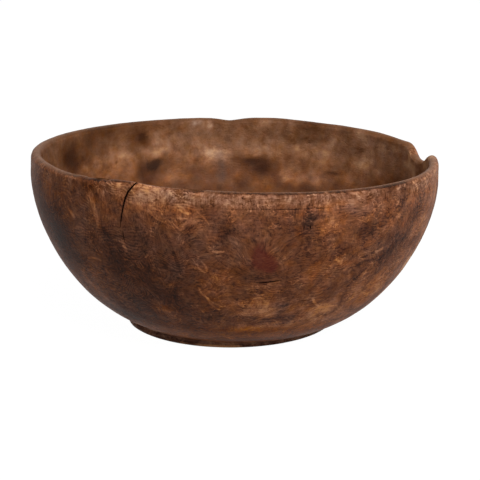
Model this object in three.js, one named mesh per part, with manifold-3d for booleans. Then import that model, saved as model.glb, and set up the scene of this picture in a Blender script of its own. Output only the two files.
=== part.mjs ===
// Turned burl-wood bowl with a low foot ring, a rounded lip and a line scribed round its collar.
// The bowl is one block of wood. Two encased knots are pieces of their own: each is a tapered plug
// of dark branch wood that never grew together with the block, and sits in its pocket in the wall.
// Millimetres, +Z up. The bowl stands on z = 0 with the middle of its belly over the origin.
// A bearing is the angle round the bowl from the front (-Y), positive towards the right (+X).

import * as THREE from "three";
import { mergeVertices } from "three/addons/utils/BufferGeometryUtils.js";
import Module from "manifold-3d";

const { degToRad, smoothstep } = THREE.MathUtils;

// Outer wall: a curve from the foot up to the belly, then an almost upright collar
const bellyRadius = 175;
const bellyHeight = 129.9;
const wallFootAngle = degToRad(22.9); // slope of the wall where it leaves the foot
const wallFootReach = 61.4; // how far the wall keeps that slope
const wallBellyReach = 34; // how far it stays upright under the belly
const collarHeight = 17.9; // from the belly up to the crest of the lip
const collarDraw = 0.5; // how much narrower the lip is than the belly

// Lip and inside
const lipThickness = 9.5; // the lip is a full round of this thickness
const floorHeight = 17; // inside floor at the middle, above the table
const innerWallReach = 80; // how far the inside stays upright under the lip
const innerFloorReach = 115; // how far out the inside floor stays level

// Line scribed round the collar
const scribeRise = 5.4; // above the belly
const scribeWidth = 1.6;
const scribeDepth = 0.8;

// Foot ring, with a cove turned over it and a shallow hollow inside it
const footRadius = 92;
const footHeight = 4.3;
const footEdge = 0.8; // small round on the lower edge
const coveDepth = 2;
const coveHeight = 2.6; // height of the deepest part of the cove
const footRingWidth = 15;
const hollowDepth = 3;
const hollowEdge = 4; // width of the sloping side of the hollow

// Wear and movement of the wood
const lean = degToRad(1.35); // the foot has worn most on the right, so the bowl tips that way
const rimSaddle = 1.2; // the lip rises and falls twice round, and is highest at the crack

// Places where the lip stands higher or lower than the rest, each fading out over its spread
const lipMarks = [
  { bearing: -29, spread: 6, rise: 1.5 }, // lifted beside the crack
  { bearing: -52, spread: 9, rise: -1.2 }, // rubbed down by hands
  { bearing: -178, spread: 4.5, rise: -2.6 }, // small dip at the back
  { bearing: 166, spread: 8, rise: 0.9 }, // the high stretch beside that dip
  { bearing: 117, spread: 8, rise: -0.9 }, // falling away towards the broken notch
  { bearing: 86, spread: 8, rise: 0.9 }, // the knob left standing beside it
];

// Age crack: an open, curving gap from the lip down into the wall
const crackBearing = -26.5; // where it crosses the lip
const crackLength = 36.5;
const crackWidth = 1.9; // across the gap at the lip
const crackDrift = 10.5; // sideways run to the left by its lower end
const crackBend = 7; // sideways run where it turns down the wall
const crackBendDrop = 8; // how far below the lip it turns

// Broken notch in the lip at the right, steeper on its far side, and worn round by use
const notchBearing = 103;
const notchDepth = 11.3;
const notchFarRun = 28;
const notchFarFloor = 0.53; // share of the far run over which the notch keeps to its floor
const notchFarCrest = 0.57; // share of the far run over which it joins the lip again
const notchNearRun = 44;

// Encased knots: half sizes across and up the wall, depth into it, and the size left at the tip
const frontKnot = { bearing: 7.3, height: 94.5, halfAcross: 10.2, halfUp: 12.4, depth: 7 };
const backKnot = { bearing: -150.6, height: 105.5, halfAcross: 8.4, halfUp: 7.4, depth: 6 };
const knotTipShare = 0.6;
const seatGap = 0.3; // clearance between a knot and its pocket

// Facets
const turnSegments = 96;
const wallSteps = 14;
const lipSteps = 6;
const crackSteps = 8;
const knotSegments = 24;
const weldTolerance = 1e-3;
const overshoot = 6; // how far a cutter reaches past the surface that it cuts

// Values that follow from the sizes above
const rimHeight = bellyHeight + collarHeight;
const rimRadius = bellyRadius - collarDraw;
const lipRadius = lipThickness / 2;
const lipBase = rimHeight - lipRadius;
const wornFoot = footRadius * Math.tan(lean) + footEdge; // turned below z = 0, then worn flat

// The foot end of the outer wall, rising to the widest ring
const outerWall = new THREE.CubicBezierCurve(
  new THREE.Vector2(footRadius, footHeight),
  new THREE.Vector2(
    footRadius + wallFootReach * Math.cos(wallFootAngle),
    footHeight + wallFootReach * Math.sin(wallFootAngle),
  ),
  new THREE.Vector2(bellyRadius, bellyHeight - wallBellyReach),
  new THREE.Vector2(bellyRadius, bellyHeight),
);

// The inside, from the middle of the floor up to the lip
const innerWall = new THREE.CubicBezierCurve(
  new THREE.Vector2(0, floorHeight),
  new THREE.Vector2(innerFloorReach, floorHeight),
  new THREE.Vector2(rimRadius - lipThickness, lipBase - innerWallReach),
  new THREE.Vector2(rimRadius - lipThickness, lipBase),
);

const wasm = await Module();
wasm.setup();

// A closed geometry as a solid that can be cut
function solidFrom(geometry) {
  const bare = geometry.clone();
  bare.deleteAttribute("normal");
  bare.deleteAttribute("uv");
  const welded = mergeVertices(bare, weldTolerance);
  return new wasm.Manifold(
    new wasm.Mesh({
      numProp: 3,
      vertProperties: welded.getAttribute("position").array,
      triVerts: new Uint32Array(welded.index.array),
    }),
  );
}

function geometryFrom(solid) {
  const { vertProperties, triVerts, numProp } = solid.getMesh();
  const geometry = new THREE.BufferGeometry();
  geometry.setAttribute("position", new THREE.BufferAttribute(vertProperties, numProp));
  geometry.setIndex(new THREE.BufferAttribute(triVerts, 1));
  geometry.computeVertexNormals();
  return geometry;
}

// Tips a geometry with the bowl, about the middle of the belly
function leaned(geometry) {
  return geometry.translate(0, 0, -bellyHeight).rotateY(lean).translate(0, 0, bellyHeight);
}

function bearingAxes(bearing) {
  const angle = degToRad(bearing);
  return {
    across: new THREE.Vector3(Math.cos(angle), Math.sin(angle), 0),
    outward: new THREE.Vector3(Math.sin(angle), -Math.cos(angle), 0),
  };
}

// Signed difference of two bearings, from -180 to 180
function bearingFrom(bearing, other) {
  return THREE.MathUtils.euclideanModulo(bearing - other + 180, 360) - 180;
}

// How much the lip stands above or below its mean height at a bearing
function lipRise(bearing) {
  const saddle = rimSaddle * Math.cos(2 * degToRad(bearing - crackBearing));
  return lipMarks.reduce((rise, mark) => {
    const away = bearingFrom(bearing, mark.bearing) / mark.spread;
    return rise + mark.rise * Math.exp(-away * away);
  }, saddle);
}

// Half section of the turned bowl, from the axis under the foot, round the lip, to the axis inside
function turnedProfile() {
  const corner = (x, y) => new THREE.Vector2(x, y);
  const ringInside = footRadius - footRingWidth;
  const scribeHeight = bellyHeight + scribeRise;
  const collarAt = (height) => bellyRadius - (collarDraw * (height - bellyHeight)) / collarHeight;
  const lip = new THREE.EllipseCurve(rimRadius - lipRadius, lipBase, lipRadius, lipRadius, 0, Math.PI);
  return [
    corner(0, hollowDepth),
    corner(ringInside - hollowEdge, hollowDepth),
    corner(ringInside, -wornFoot),
    corner(footRadius - footEdge, -wornFoot),
    corner(footRadius, 0),
    corner(footRadius - coveDepth, coveHeight),
    ...outerWall.getPoints(wallSteps),
    corner(collarAt(scribeHeight - scribeWidth / 2), scribeHeight - scribeWidth / 2),
    corner(collarAt(scribeHeight) - scribeDepth, scribeHeight),
    corner(collarAt(scribeHeight + scribeWidth / 2), scribeHeight + scribeWidth / 2),
    ...lip.getPoints(lipSteps),
    ...innerWall.getPoints(wallSteps).reverse().slice(1),
  ];
}

// The turned block, with its lip moved up and down as the wood has moved and worn
function turnedBlock() {
  const geometry = new THREE.LatheGeometry(turnedProfile(), turnSegments).rotateX(Math.PI / 2);
  const place = geometry.getAttribute("position");
  for (let i = 0; i < place.count; i += 1) {
    const bearing = THREE.MathUtils.radToDeg(Math.atan2(place.getX(i), -place.getY(i)));
    const share = smoothstep(place.getZ(i), bellyHeight, lipBase);
    place.setZ(i, place.getZ(i) + share * lipRise(bearing));
  }
  return geometry;
}

// An outline drawn across and up, pushed outward through the lip at a bearing
function lipCutter(outline, bearing) {
  const reach = lipThickness + 2 * overshoot;
  const { across, outward } = bearingAxes(bearing);
  const start = outward.clone().multiplyScalar(rimRadius - lipThickness - overshoot);
  start.z = rimHeight + lipRise(bearing);
  const place = new THREE.Matrix4().makeBasis(across, new THREE.Vector3(0, 0, 1), outward);
  place.setPosition(start);
  const cutter = new THREE.ExtrudeGeometry(outline, { depth: reach, bevelEnabled: false });
  return leaned(cutter.applyMatrix4(place));
}

// The crack narrows from the lip to a point at its lower end
function crackOutline() {
  const line = new THREE.QuadraticBezierCurve(
    new THREE.Vector2(crackBend / 2, overshoot),
    new THREE.Vector2(-crackBend, -crackBendDrop),
    new THREE.Vector2(-crackDrift, -crackLength),
  );
  const side = (sign) =>
    Array.from({ length: crackSteps }, (_, i) => {
      const t = i / crackSteps;
      const along = line.getTangent(t);
      const half = (sign * crackWidth * Math.sqrt(1 - t)) / 2;
      return line.getPoint(t).add(new THREE.Vector2(-along.y, along.x).multiplyScalar(half));
    });
  return new THREE.Shape([...side(1), line.getPoint(1), ...side(-1).reverse()]);
}

// The notch falls from the near side to its floor and rises up the far side
function notchOutline() {
  const [near, far] = [-notchNearRun, notchFarRun];
  const outline = new THREE.Shape();
  outline.moveTo(near, overshoot);
  outline.lineTo(near, 0);
  outline.bezierCurveTo((near * 2) / 3, 0, near / 2, -notchDepth, 0, -notchDepth);
  outline.bezierCurveTo(far * notchFarFloor, -notchDepth, far * notchFarCrest, 0, far, 0);
  outline.lineTo(far, overshoot);
  return outline;
}

// Where a wall curve stands at a height, and its slope there
function wallPlace(curve, height) {
  let low = 0;
  let high = 1;
  while (high - low > weldTolerance * weldTolerance) {
    const middle = (low + high) / 2;
    if (curve.getPoint(middle).y < height) low = middle;
    else high = middle;
  }
  return { point: curve.getPoint(low), tangent: curve.getTangent(low) };
}

// A knot as a tapered oval plug, grown by a gap all round. Its thick end passes the wall's face.
function knotPlug(knot, curve, facing, gap) {
  const { point, tangent } = wallPlace(curve, knot.height);
  const { across, outward } = bearingAxes(knot.bearing);
  const out = outward.clone().multiplyScalar(facing * tangent.y);
  out.z = -facing * tangent.x;
  const depth = knot.depth + gap;
  const mouthShare = 1 + ((1 - knotTipShare) * overshoot) / depth;
  const plug = new THREE.CylinderGeometry(mouthShare, knotTipShare, depth + overshoot, knotSegments);
  plug.translate(0, (overshoot - depth) / 2, 0);
  plug.scale(knot.halfAcross + gap, 1, knot.halfUp + gap);
  const place = new THREE.Matrix4().makeBasis(across, out, new THREE.Vector3().crossVectors(across, out));
  place.setPosition(outward.multiplyScalar(point.x).setZ(point.y));
  return solidFrom(leaned(plug.applyMatrix4(place)));
}

// The table that the worn foot stands on, as a block to cut the foot flat
function tableBlock() {
  const span = 2 * (bellyRadius + overshoot);
  const deep = wornFoot + overshoot;
  return new THREE.BoxGeometry(span, span, deep * 2).translate(0, 0, -deep);
}

function woodMesh(name, solid, colour, roughness) {
  const material = new THREE.MeshStandardMaterial({ color: colour, roughness, metalness: 0 });
  const mesh = new THREE.Mesh(geometryFrom(solid), material);
  mesh.name = name;
  return mesh;
}

const block = solidFrom(leaned(turnedBlock()))
  .subtract(solidFrom(tableBlock()))
  .subtract(solidFrom(lipCutter(crackOutline(), crackBearing)))
  .subtract(solidFrom(lipCutter(notchOutline(), notchBearing)));

const onOutside = 1;
const onInside = -1;
const frontPlug = knotPlug(frontKnot, outerWall, onOutside, 0);
const backPlug = knotPlug(backKnot, innerWall, onInside, 0);
const body = block
  .subtract(knotPlug(frontKnot, outerWall, onOutside, seatGap))
  .subtract(knotPlug(backKnot, innerWall, onInside, seatGap));

const bowl = new THREE.Group();
bowl.add(woodMesh("bowl_body", body, 0x6a432c, 0.55));
bowl.add(woodMesh("front_knot", block.intersect(frontPlug), 0x42201a, 0.5));
bowl.add(woodMesh("back_knot", block.intersect(backPlug), 0x2b1c15, 0.6));

export default bowl;
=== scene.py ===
"""Looks of a worn, turned burl-wood bowl with two encased knots, laid out as a Blender add-on.

Metres, +Z up. A bearing is the angle round the bowl from the front (-Y), in degrees, positive towards
the right (+X). Bearings and heights are those of the bowl as it was turned, before it leaned on its foot.
"""

import math
from typing import NamedTuple

import bpy
import numpy as np
from bpy.props import FloatProperty, FloatVectorProperty, PointerProperty
from mathutils import Matrix, Vector
from mathutils.noise import seed_set, turbulence_vector


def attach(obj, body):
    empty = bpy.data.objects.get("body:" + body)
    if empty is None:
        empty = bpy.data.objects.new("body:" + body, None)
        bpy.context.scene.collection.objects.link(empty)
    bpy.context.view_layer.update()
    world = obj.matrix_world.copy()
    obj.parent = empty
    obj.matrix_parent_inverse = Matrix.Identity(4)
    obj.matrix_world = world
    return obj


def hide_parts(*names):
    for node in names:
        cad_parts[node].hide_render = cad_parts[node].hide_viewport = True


bl_info = {
    "name": "Burl Bowl",
    "version": (1, 0, 0),
    "blender": (4, 5, 0),
    "location": "View3D > Sidebar > Burl Bowl",
    "description": "Models a worn burl bowl and its two knots, and sets them on a white studio floor",
    "category": "Mesh",
}

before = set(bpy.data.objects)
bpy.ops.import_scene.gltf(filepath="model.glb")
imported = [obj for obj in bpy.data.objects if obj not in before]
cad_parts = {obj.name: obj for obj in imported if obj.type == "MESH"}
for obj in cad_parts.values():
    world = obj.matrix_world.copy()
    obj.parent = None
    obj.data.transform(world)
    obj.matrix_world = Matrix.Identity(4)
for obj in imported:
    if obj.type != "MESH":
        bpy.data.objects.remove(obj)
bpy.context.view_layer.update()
BODY = "root"

# Mesh density, and how curves are sampled and softened
TURN_STEPS = 360
SPACING_UNDER = 0.004
SPACING_FOOT = 0.0006
SPACING_WALL = 0.002
SPACING_COLLAR = 0.00055
SPACING_LIP = 0.0007
SPACING_INSIDE = 0.0027
MERGE_DISTANCE = 1e-5
CUT_DISTANCE = 1e-6
CURVE_SAMPLES = 600
CORNER_CUT = 0.25
SLOPE_STEP = 0.001
SMOOTH_ANGLE = math.radians(42)

# Cutters
OVERSHOOT = 0.006
SEAT_GAP = 0.00008
CRACK_SKIN = 0.0026
CHECK_STEPS = 13
CHECK_DEPTHS = (-0.0022, -0.0008, 0.0015)
KNOT_TIP_SHARE = 0.6
KNOT_SIDES = 48

# The knots' uneven outline: the number and start of its waves, and their depth as a share of its size
KNOT_WAVES = ((3, 0.6), (5, 2.1))
KNOT_WAVE_DEPTH = 0.05

# The scribed line is least worn at this bearing, and over this spread it wears down to this share
SCRIBE_KEPT_AT = 18.0
SCRIBE_KEPT_OVER = 24.0
SCRIBE_KEPT_SHARE = 0.25

# How far below the crest the wall follows the notch down, and from where it follows fully
NOTCH_REACH = 0.034
NOTCH_FULL = 0.002

# Handles of the curves down into the notch and up out of it, as shares of their runs
NOTCH_FALL = (2 / 3, 1 / 2)
NOTCH_CLIMB = (0.53, 0.57)

# Chips start this far above the base of the lip
CHIP_RISE = 0.0005

# Dips in the worn surface: their name, size and share of the unevenness
DIPS = (
    ("broad dips", 0.022, 0.7),
    ("small dips", 0.005, 0.3),
)

# Figure: how sharp its edges are and how they wander, the small eyes in the grain, and what scatters them
MARK_SHARPNESS = 1.3
WANDER_SCALE = 70.0
WANDER_REACH = 0.004
WANDER_SEED = 2
EYE_COUNT = 80
EYE_SIZES = (0.006, 0.015)
EYE_HEIGHTS = (0.015, 0.146)
EYE_LIFT = 1.1
SEED = 11

# Cut faces painted dark as shade inside the cracks and pockets: their reach beside the crack on the lip in
# degrees, their least height, and their depth
CRACK_REACH = 8.0
LOWEST_CUT = 0.05
CUT_ZONE = (0.0016, 0.0022)

# Strokes are painted on the outside up to this bearing, and elsewhere the wall's place is put far away
STROKE_LIMIT = 140.0
FAR_AWAY = 10.0

# Zones of wear and of painted light and shade, from where each starts to where it is full: two below the
# crest of the lip, then heights
# The lip and its top take painted shade
LIP_ZONE = (0.004, 0.001)
LIP_TOP_ZONE = (0.0026, 0.0008)
COLLAR_ZONE = (0.132, 0.143)
CRACK_STEP_ZONE = (0.100, 0.140)
# The low wall is painted warmer against the floor's grey reflection, and the foot takes painted light
LOW_WALL_ZONE = (0.034, 0.014)
FOOT_ZONE = (0.0062, 0.0044)
AGED_INSIDE_ZONE = (0.09, 0.13)
# Painted shade deep in the bowl
DEEP_INSIDE_ZONE = (0.108, 0.082)

# Bearings between which the collar's wear falls to half, and where the lip is spared its painted shade and
# over what spread
COLLAR_FADE = (-22, -30)
PALE_LIP_AT = 86
PALE_LIP_OVER = 15

# The share of rubbing and painted highlight from which the top of the lip takes its painted shade in full
FULLY_RUBBED_AND_LIT = 0.6

# Raw wood in the notch: the shares of its fall between which it shows, and how far below the crest it ends
BROKEN_FROM = (0.1, 0.5)
BROKEN_TO = (0.86, 0.60)
BROKEN_ZONE = (0.012, 0.004)

# The dark line painted along the lip: how far below the crest it runs, and its width
DARK_LINE_DROP = 0.0011
DARK_LINE_WIDTH = 0.0007

# Its dashes: their mean and swing, pace and start of two waves, bearings and spreads of gaps, and its ends
DARK_LINE_MEAN = 0.75
DARK_LINE_SWING = 0.5
DARK_LINE_WAVES = ((1.31, 2.0), (0.47, 0.5))
DARK_LINE_GAPS = ((-6.3, 2.2), (-21, 5))
DARK_LINE_ENDS = (58, 46)

# The strip along the foot's lower edge, bare worn wood with painted light, as the foot lies in the bowl's
# shade: its height over the table, its width, and where it fades in from the foot's edge
BARE_LIT_RISE = 0.0007
BARE_LIT_WIDTH = 0.0012
BARE_LIT_FADE = (0.004, 0.0015)

# How much wear, painted light and painted shade lighten the wood, or darken it
COLLAR_TONE = 0.30
# Painted shade on the top of the lip outside, and on the lip's inside
LIP_TOP_TONE = -0.35
INNER_LIP_TONE = -0.45
# The dark line painted along the lip
DARK_LINE_TONE = -1.1
BROKEN_TONE = 0.5
# Painted light on the foot and the cove over it, which lie in the bowl's shade
FOOT_TONE = 0.65
# Painted shade deep inside, and on the cut faces of the cracks and pockets
DEEP_INSIDE_TONE = -0.25
CUT_TONE = -3.0

# How much the wood is made warmer or greyer: painted warmth on the low wall against the floor's grey
# reflection, the foot greyer against the warm light bounced in its shaded cove, and raw wood in the notch
# warmer
LOW_WALL_WARMTH = 1.4
FOOT_WARMTH = -0.8
BROKEN_WARMTH = 0.3

# The inside's tone, contrast and warmth, how much fine grain it shows, and how much more the collar shows
INSIDE_TONE = 0.12
INSIDE_CONTRAST = 0.9
INSIDE_WARMTH = -0.05
INSIDE_FINE = 0.15
COLLAR_FINE = 0.25

# Grain: the scales of its patterns per metre, the spacing of its lines, and how far clouds and lines curl
MOTTLE_SCALE = 52.0
MOTTLE_CURL_SCALE = 28.0
MOTTLE_CURL = 0.045
LYING_FIBRE_SCALE = 160.0
UPRIGHT_FIBRE_SCALE = 190.0
FIBRE_PATCH_SCALE = 24.0
LINE_SPACING = 0.0029
LINE_PATCH_SCALE = 42.0
LINE_CURL_SCALE = 34.0
LINE_CURL = 0.030
FLECK_SCALE = 95.0
FLECK_PATCH_SCALE = 60.0
PORE_SCALE = 330.0
DRIFT_SCALE = 130.0

# Speckles and soft clouds are this many times finer than the mottle
SPECKLE_RATIO = 7.0
SOFT_RATIO = 2.0

# The least sharpness of the mottle, and how much contrast its soft clouds keep
SOFTEST = 0.35
SOFT_CONTRAST = 0.75

# How much the patterns are squeezed along X, Y and Z
SOFT_SQUEEZE = (1.0, 0.5, 1.15)
LYING_SQUEEZE = (1, 1, 6)
UPRIGHT_SQUEEZE = (5, 5, 1)
FLECK_SQUEEZE = (1, 1, 1.7)
PORE_SQUEEZE = (1, 1, 1.6)

# Heights between which fibres turn upright more often, and how much that shifts their chance
UPRIGHT_ZONE = (0.085, 0.135)
UPRIGHT_SHIFT = (-0.10, 0.03)

# Noise between which fibres turn upright, and lines, flecks and pores come in
UPRIGHT_CHANCE = (0.47, 0.6)
LINE_CHANCE = (0.45, 0.62)
FLECK_CHANCE = (0.50, 0.62)
PORE_CHANCE = (0.62, 0.70)

# From where flecks, pores and strokes are gone to where they are full, in noise, cells and stroke widths
FLECK_EDGE = (0.034, 0.004)
PORE_EDGE = (0.38, 0.12)
STROKE_EDGE = (1.5, 0.35)

# How much each part of the figure and of the grain changes the tone
# The figure also carries the wear and the painted light and shade written with it
FIGURE_SHARE = 0.36
MOTTLE_SHARE = 0.85
STROKE_SHARE = 0.55
SPECKLE_SHARE = 0.68
FIBRE_SHARE = 0.70
BRIGHT_FLECK_SHARE = 0.24
DARK_FLECK_SHARE = -0.20
LINE_SHARE = 0.08
PORE_SHARE = -0.16

# How much the mottle breaks the edges of patches, and the speckle those of strokes and stains
RAGGED_PATCHES = 2.6
RAGGED_STROKES = 3.0
RAGGED_STAINS = 0.9

# The rubbed lip with its painted highlight, the bare foot edge with its painted light, and stains: mean
# strength, masks between which they come in, and the most
RUBBED_AND_LIT_BASE = 0.55
BARE_LIT_BASE = 0.9
BARE_LIT_EDGE = (0.1, 0.9)
STAIN_EDGE = (0.05, 0.95)
STAIN_MOST = 0.75

# Colour: the tones of the five shades, the tones that age bleaches, and what shifts saturation and hue
TONE_STOPS = (0.0, 0.24, 0.5, 0.72, 1.0)
BLEACHED_TONES = (0.2, 0.85)
BLEACHED_SHARES = (-0.4, 1.4)
SATURATION = 0.85
WARMTH_SATURATION = 0.2
BLEACHED_SATURATION = -0.10
DRIFT_SATURATION = 0.3
HUE = 0.499
AGED_HUE = 0.004
FINE_HUE = -0.006
DRIFT_HUE = 0.014

# Finish: roughness, and how the mottle changes it, gloss, and the relief of the grain and its pores
ROUGHNESS = 0.52
MOTTLE_ROUGHNESS = -0.25
GLOSS = 0.04
RELIEF_STRENGTH = 0.35
RELIEF_HEIGHT = 0.0006
GRAIN_RELIEF = 1.6
PORE_RELIEF = -0.8

# How much the top of the lip is rubbed and painted with highlight, and how wide that strip is, by bearing
RUBBED_AND_LIT_LIP = (
    (-180, 0.6, 0.0012),
    (-60, 0.9, 0.0017),
    (-46, 0.9, 0.0017),
    (-43, 0.3, 0.0010),
    (-28, 0.3, 0.0010),
    (-26, 0.0, 0.0010),
    (-11, 0.0, 0.0010),
    (-7, 0.6, 0.0009),
    (45, 0.6, 0.0009),
    (64, 0.8, 0.0014),
    (180, 0.6, 0.0014),
)

# How bare the lower edge of the foot is worn and how much painted light it takes, by bearing
BARE_LIT_FOOT = (
    (-180, 0.2),
    (-60, 0.0),
    (-31, 0.0),
    (-26, 0.7),
    (-20, 0.15),
    (-16, 0.9),
    (-12, 1.2),
    (4, 0.9),
    (7, 0.1),
    (180, 0.2),
)

# The photograph's view: the camera's distance, rise and lens, and where the middle of the bowl falls
AIM = (0.0, 0.0, 0.076)
CAMERA_DISTANCE = 1.15
CAMERA_RISE = math.radians(14.15)
PIXELS_PER_METRE = 1143.0
FRAME_PIXELS = 480
AIM_PIXEL = (234.34, 230.11)
SENSOR = 36.0

# Studio
FLOOR_GAP = 0.0001
FLOOR_GREY = (0.45, 0.45, 0.45, 1.0)
FLOOR_GLOW = 1.14
FLOOR_GLOW_SHARE = 0.87
KEY_PLACE = (0.66, -1.27, 1.72)
KEY_SIZE = 1.2
FILL_PLACE = (0.5, -2.2, 0.6)
FILL_SIZE = 1.4
WHITE = (1.0, 1.0, 1.0, 1.0)


class LipMark(NamedTuple):
    """A stretch of the lip that stands higher or lower than the rest, fading over its spread."""

    bearing: float
    spread: float
    rise: float


class Chip(NamedTuple):
    """A small bite out of the lip's outer edge."""

    bearing: float
    spread: float
    depth: float


class Mark(NamedTuple):
    """A soft-edged patch of figure, or of painted light or shade: its place, half sizes along and up the
    wall, tone, turn and warmth.
    """

    bearing: float
    height: float
    across: float
    up: float
    tone: float
    turn: float = 0.0
    warmth: float = 0.0


class Stroke(NamedTuple):
    """A thin line of figure between two places on the outer wall."""

    bearing: float
    height: float
    end_bearing: float
    end_height: float
    bend: float
    width: float
    tone: float


class Check(NamedTuple):
    """A fine drying crack in the outer wall: its place, half length, width, turn and bow."""

    bearing: float
    height: float
    half_length: float
    width: float
    turn: float
    bow: float


class Knot(NamedTuple):
    """An encased knot: its names, the side of the wall that it shows on, its place, half sizes and depth."""

    name: str
    node: str
    slot: str
    inside: bool
    bearing: float
    height: float
    half_across: float
    half_up: float
    depth: float


class Places(NamedTuple):
    """Where the vertices of a piece lie on the bowl as turned, and how high they stand over the table."""

    bearing: np.ndarray
    height: np.ndarray
    radius: np.ndarray
    inside: np.ndarray
    over_table: np.ndarray


class WearAndLight(NamedTuple):
    """How strongly each kind of wear, painted light and painted shade shows at the vertices of a piece."""

    broken: np.ndarray
    rubbed_and_lit: np.ndarray
    bare_and_lit: np.ndarray
    collar: np.ndarray
    lip: np.ndarray
    lip_top: np.ndarray
    dark_line: np.ndarray
    foot: np.ndarray
    low_wall: np.ndarray


LIP_MARKS = (
    LipMark(-29, 6, 0.0015),
    LipMark(-52, 9, -0.0012),
    LipMark(-41.2, 1.7, -0.0011),
    LipMark(-178, 4.5, -0.0026),
    LipMark(166, 8, 0.0009),
    LipMark(117, 8, -0.0009),
    LipMark(86, 8, 0.0009),
)
CHIPS = (
    Chip(-37.6, 1.4, 0.0012),
    Chip(-35.0, 0.8, 0.0009),
    Chip(-10.2, 1.8, 0.0010),
    Chip(-47, 1.5, 0.0006),
    Chip(4, 2.5, 0.0004),
    Chip(23, 1.8, 0.0005),
    Chip(150, 1.5, 0.0010),
)

# Right of the crack the wood stands proud and left of it it is sunk, and both fade over these lengths
CRACK_BEARING = -26.5
CRACK_STEP_AT = CRACK_BEARING - 1.2
PROUD_FADE = 0.030
SUNK_FADE = 0.025

# The crack's course down the wall: across from where it starts, down from the crest, and its width
CRACK_COURSE = (
    (0.0042, -0.006, 0.0012),
    (0.0019, 0.0010, 0.0014),
    (-0.0004, 0.0045, 0.0016),
    (-0.0032, 0.0075, 0.0018),
    (-0.0056, 0.0125, 0.0018),
    (-0.0071, 0.0185, 0.0016),
    (-0.0086, 0.0260, 0.0014),
    (-0.0100, 0.0330, 0.0011),
    (-0.0104, 0.0360, 0.0007),
)
CHECKS = (
    Check(-29.2, 0.1070, 0.0062, 0.0011, 92, 0.0004),
    Check(9.8, 0.0766, 0.0110, 0.0018, 8, -0.0006),
    Check(22.8, 0.0572, 0.0085, 0.0008, 2, -0.0012),
    Check(19.0, 0.1212, 0.0022, 0.0008, 90, 0.0),
    Check(17.3, 0.1212, 0.0022, 0.0009, 90, 0.0),
    Check(-7.0, 0.0955, 0.0050, 0.0006, 4, 0.0004),
    Check(37.0, 0.0705, 0.0060, 0.0007, 48, 0.0004),
)
FRONT_KNOT = Knot("red_knot", "front_knot", "red_knot_wood", False, 7.3, 0.0945, 0.0102, 0.0124, 0.007)
BACK_KNOT = Knot("black_knot", "back_knot", "black_knot_wood", True, -150.6, 0.1055, 0.0084, 0.0074, 0.006)
KNOTS = (FRONT_KNOT, BACK_KNOT)

# The swirl of the grain round each knot: here the tone is how far it lifts the grain
KNOT_EYES = (
    Mark(FRONT_KNOT.bearing, FRONT_KNOT.height, 0.022, 0.018, 0.017),
    Mark(BACK_KNOT.bearing, BACK_KNOT.height, 0.014, 0.012, 0.016),
)

# Figure on the sides that are turned away: how many patches, their bearings and heights, and their kinds
UNSEEN_OUTSIDE = (70, (75, 285), (0.015, 0.140))
UNSEEN_NEAR_INSIDE = (60, (-100, 100), (0.020, 0.140))
UNSEEN_LOW_INSIDE = (40, (100, 260), (0.018, 0.085))
UNSEEN_ACROSS = (0.006, 0.026)
UNSEEN_UP = (0.006, 0.020)
UNSEEN_TURN = (-60, 60)
UNSEEN_TONE = (-0.7, 0.5)
UNSEEN_WARMTH = (-0.5, 0.4)
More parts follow.
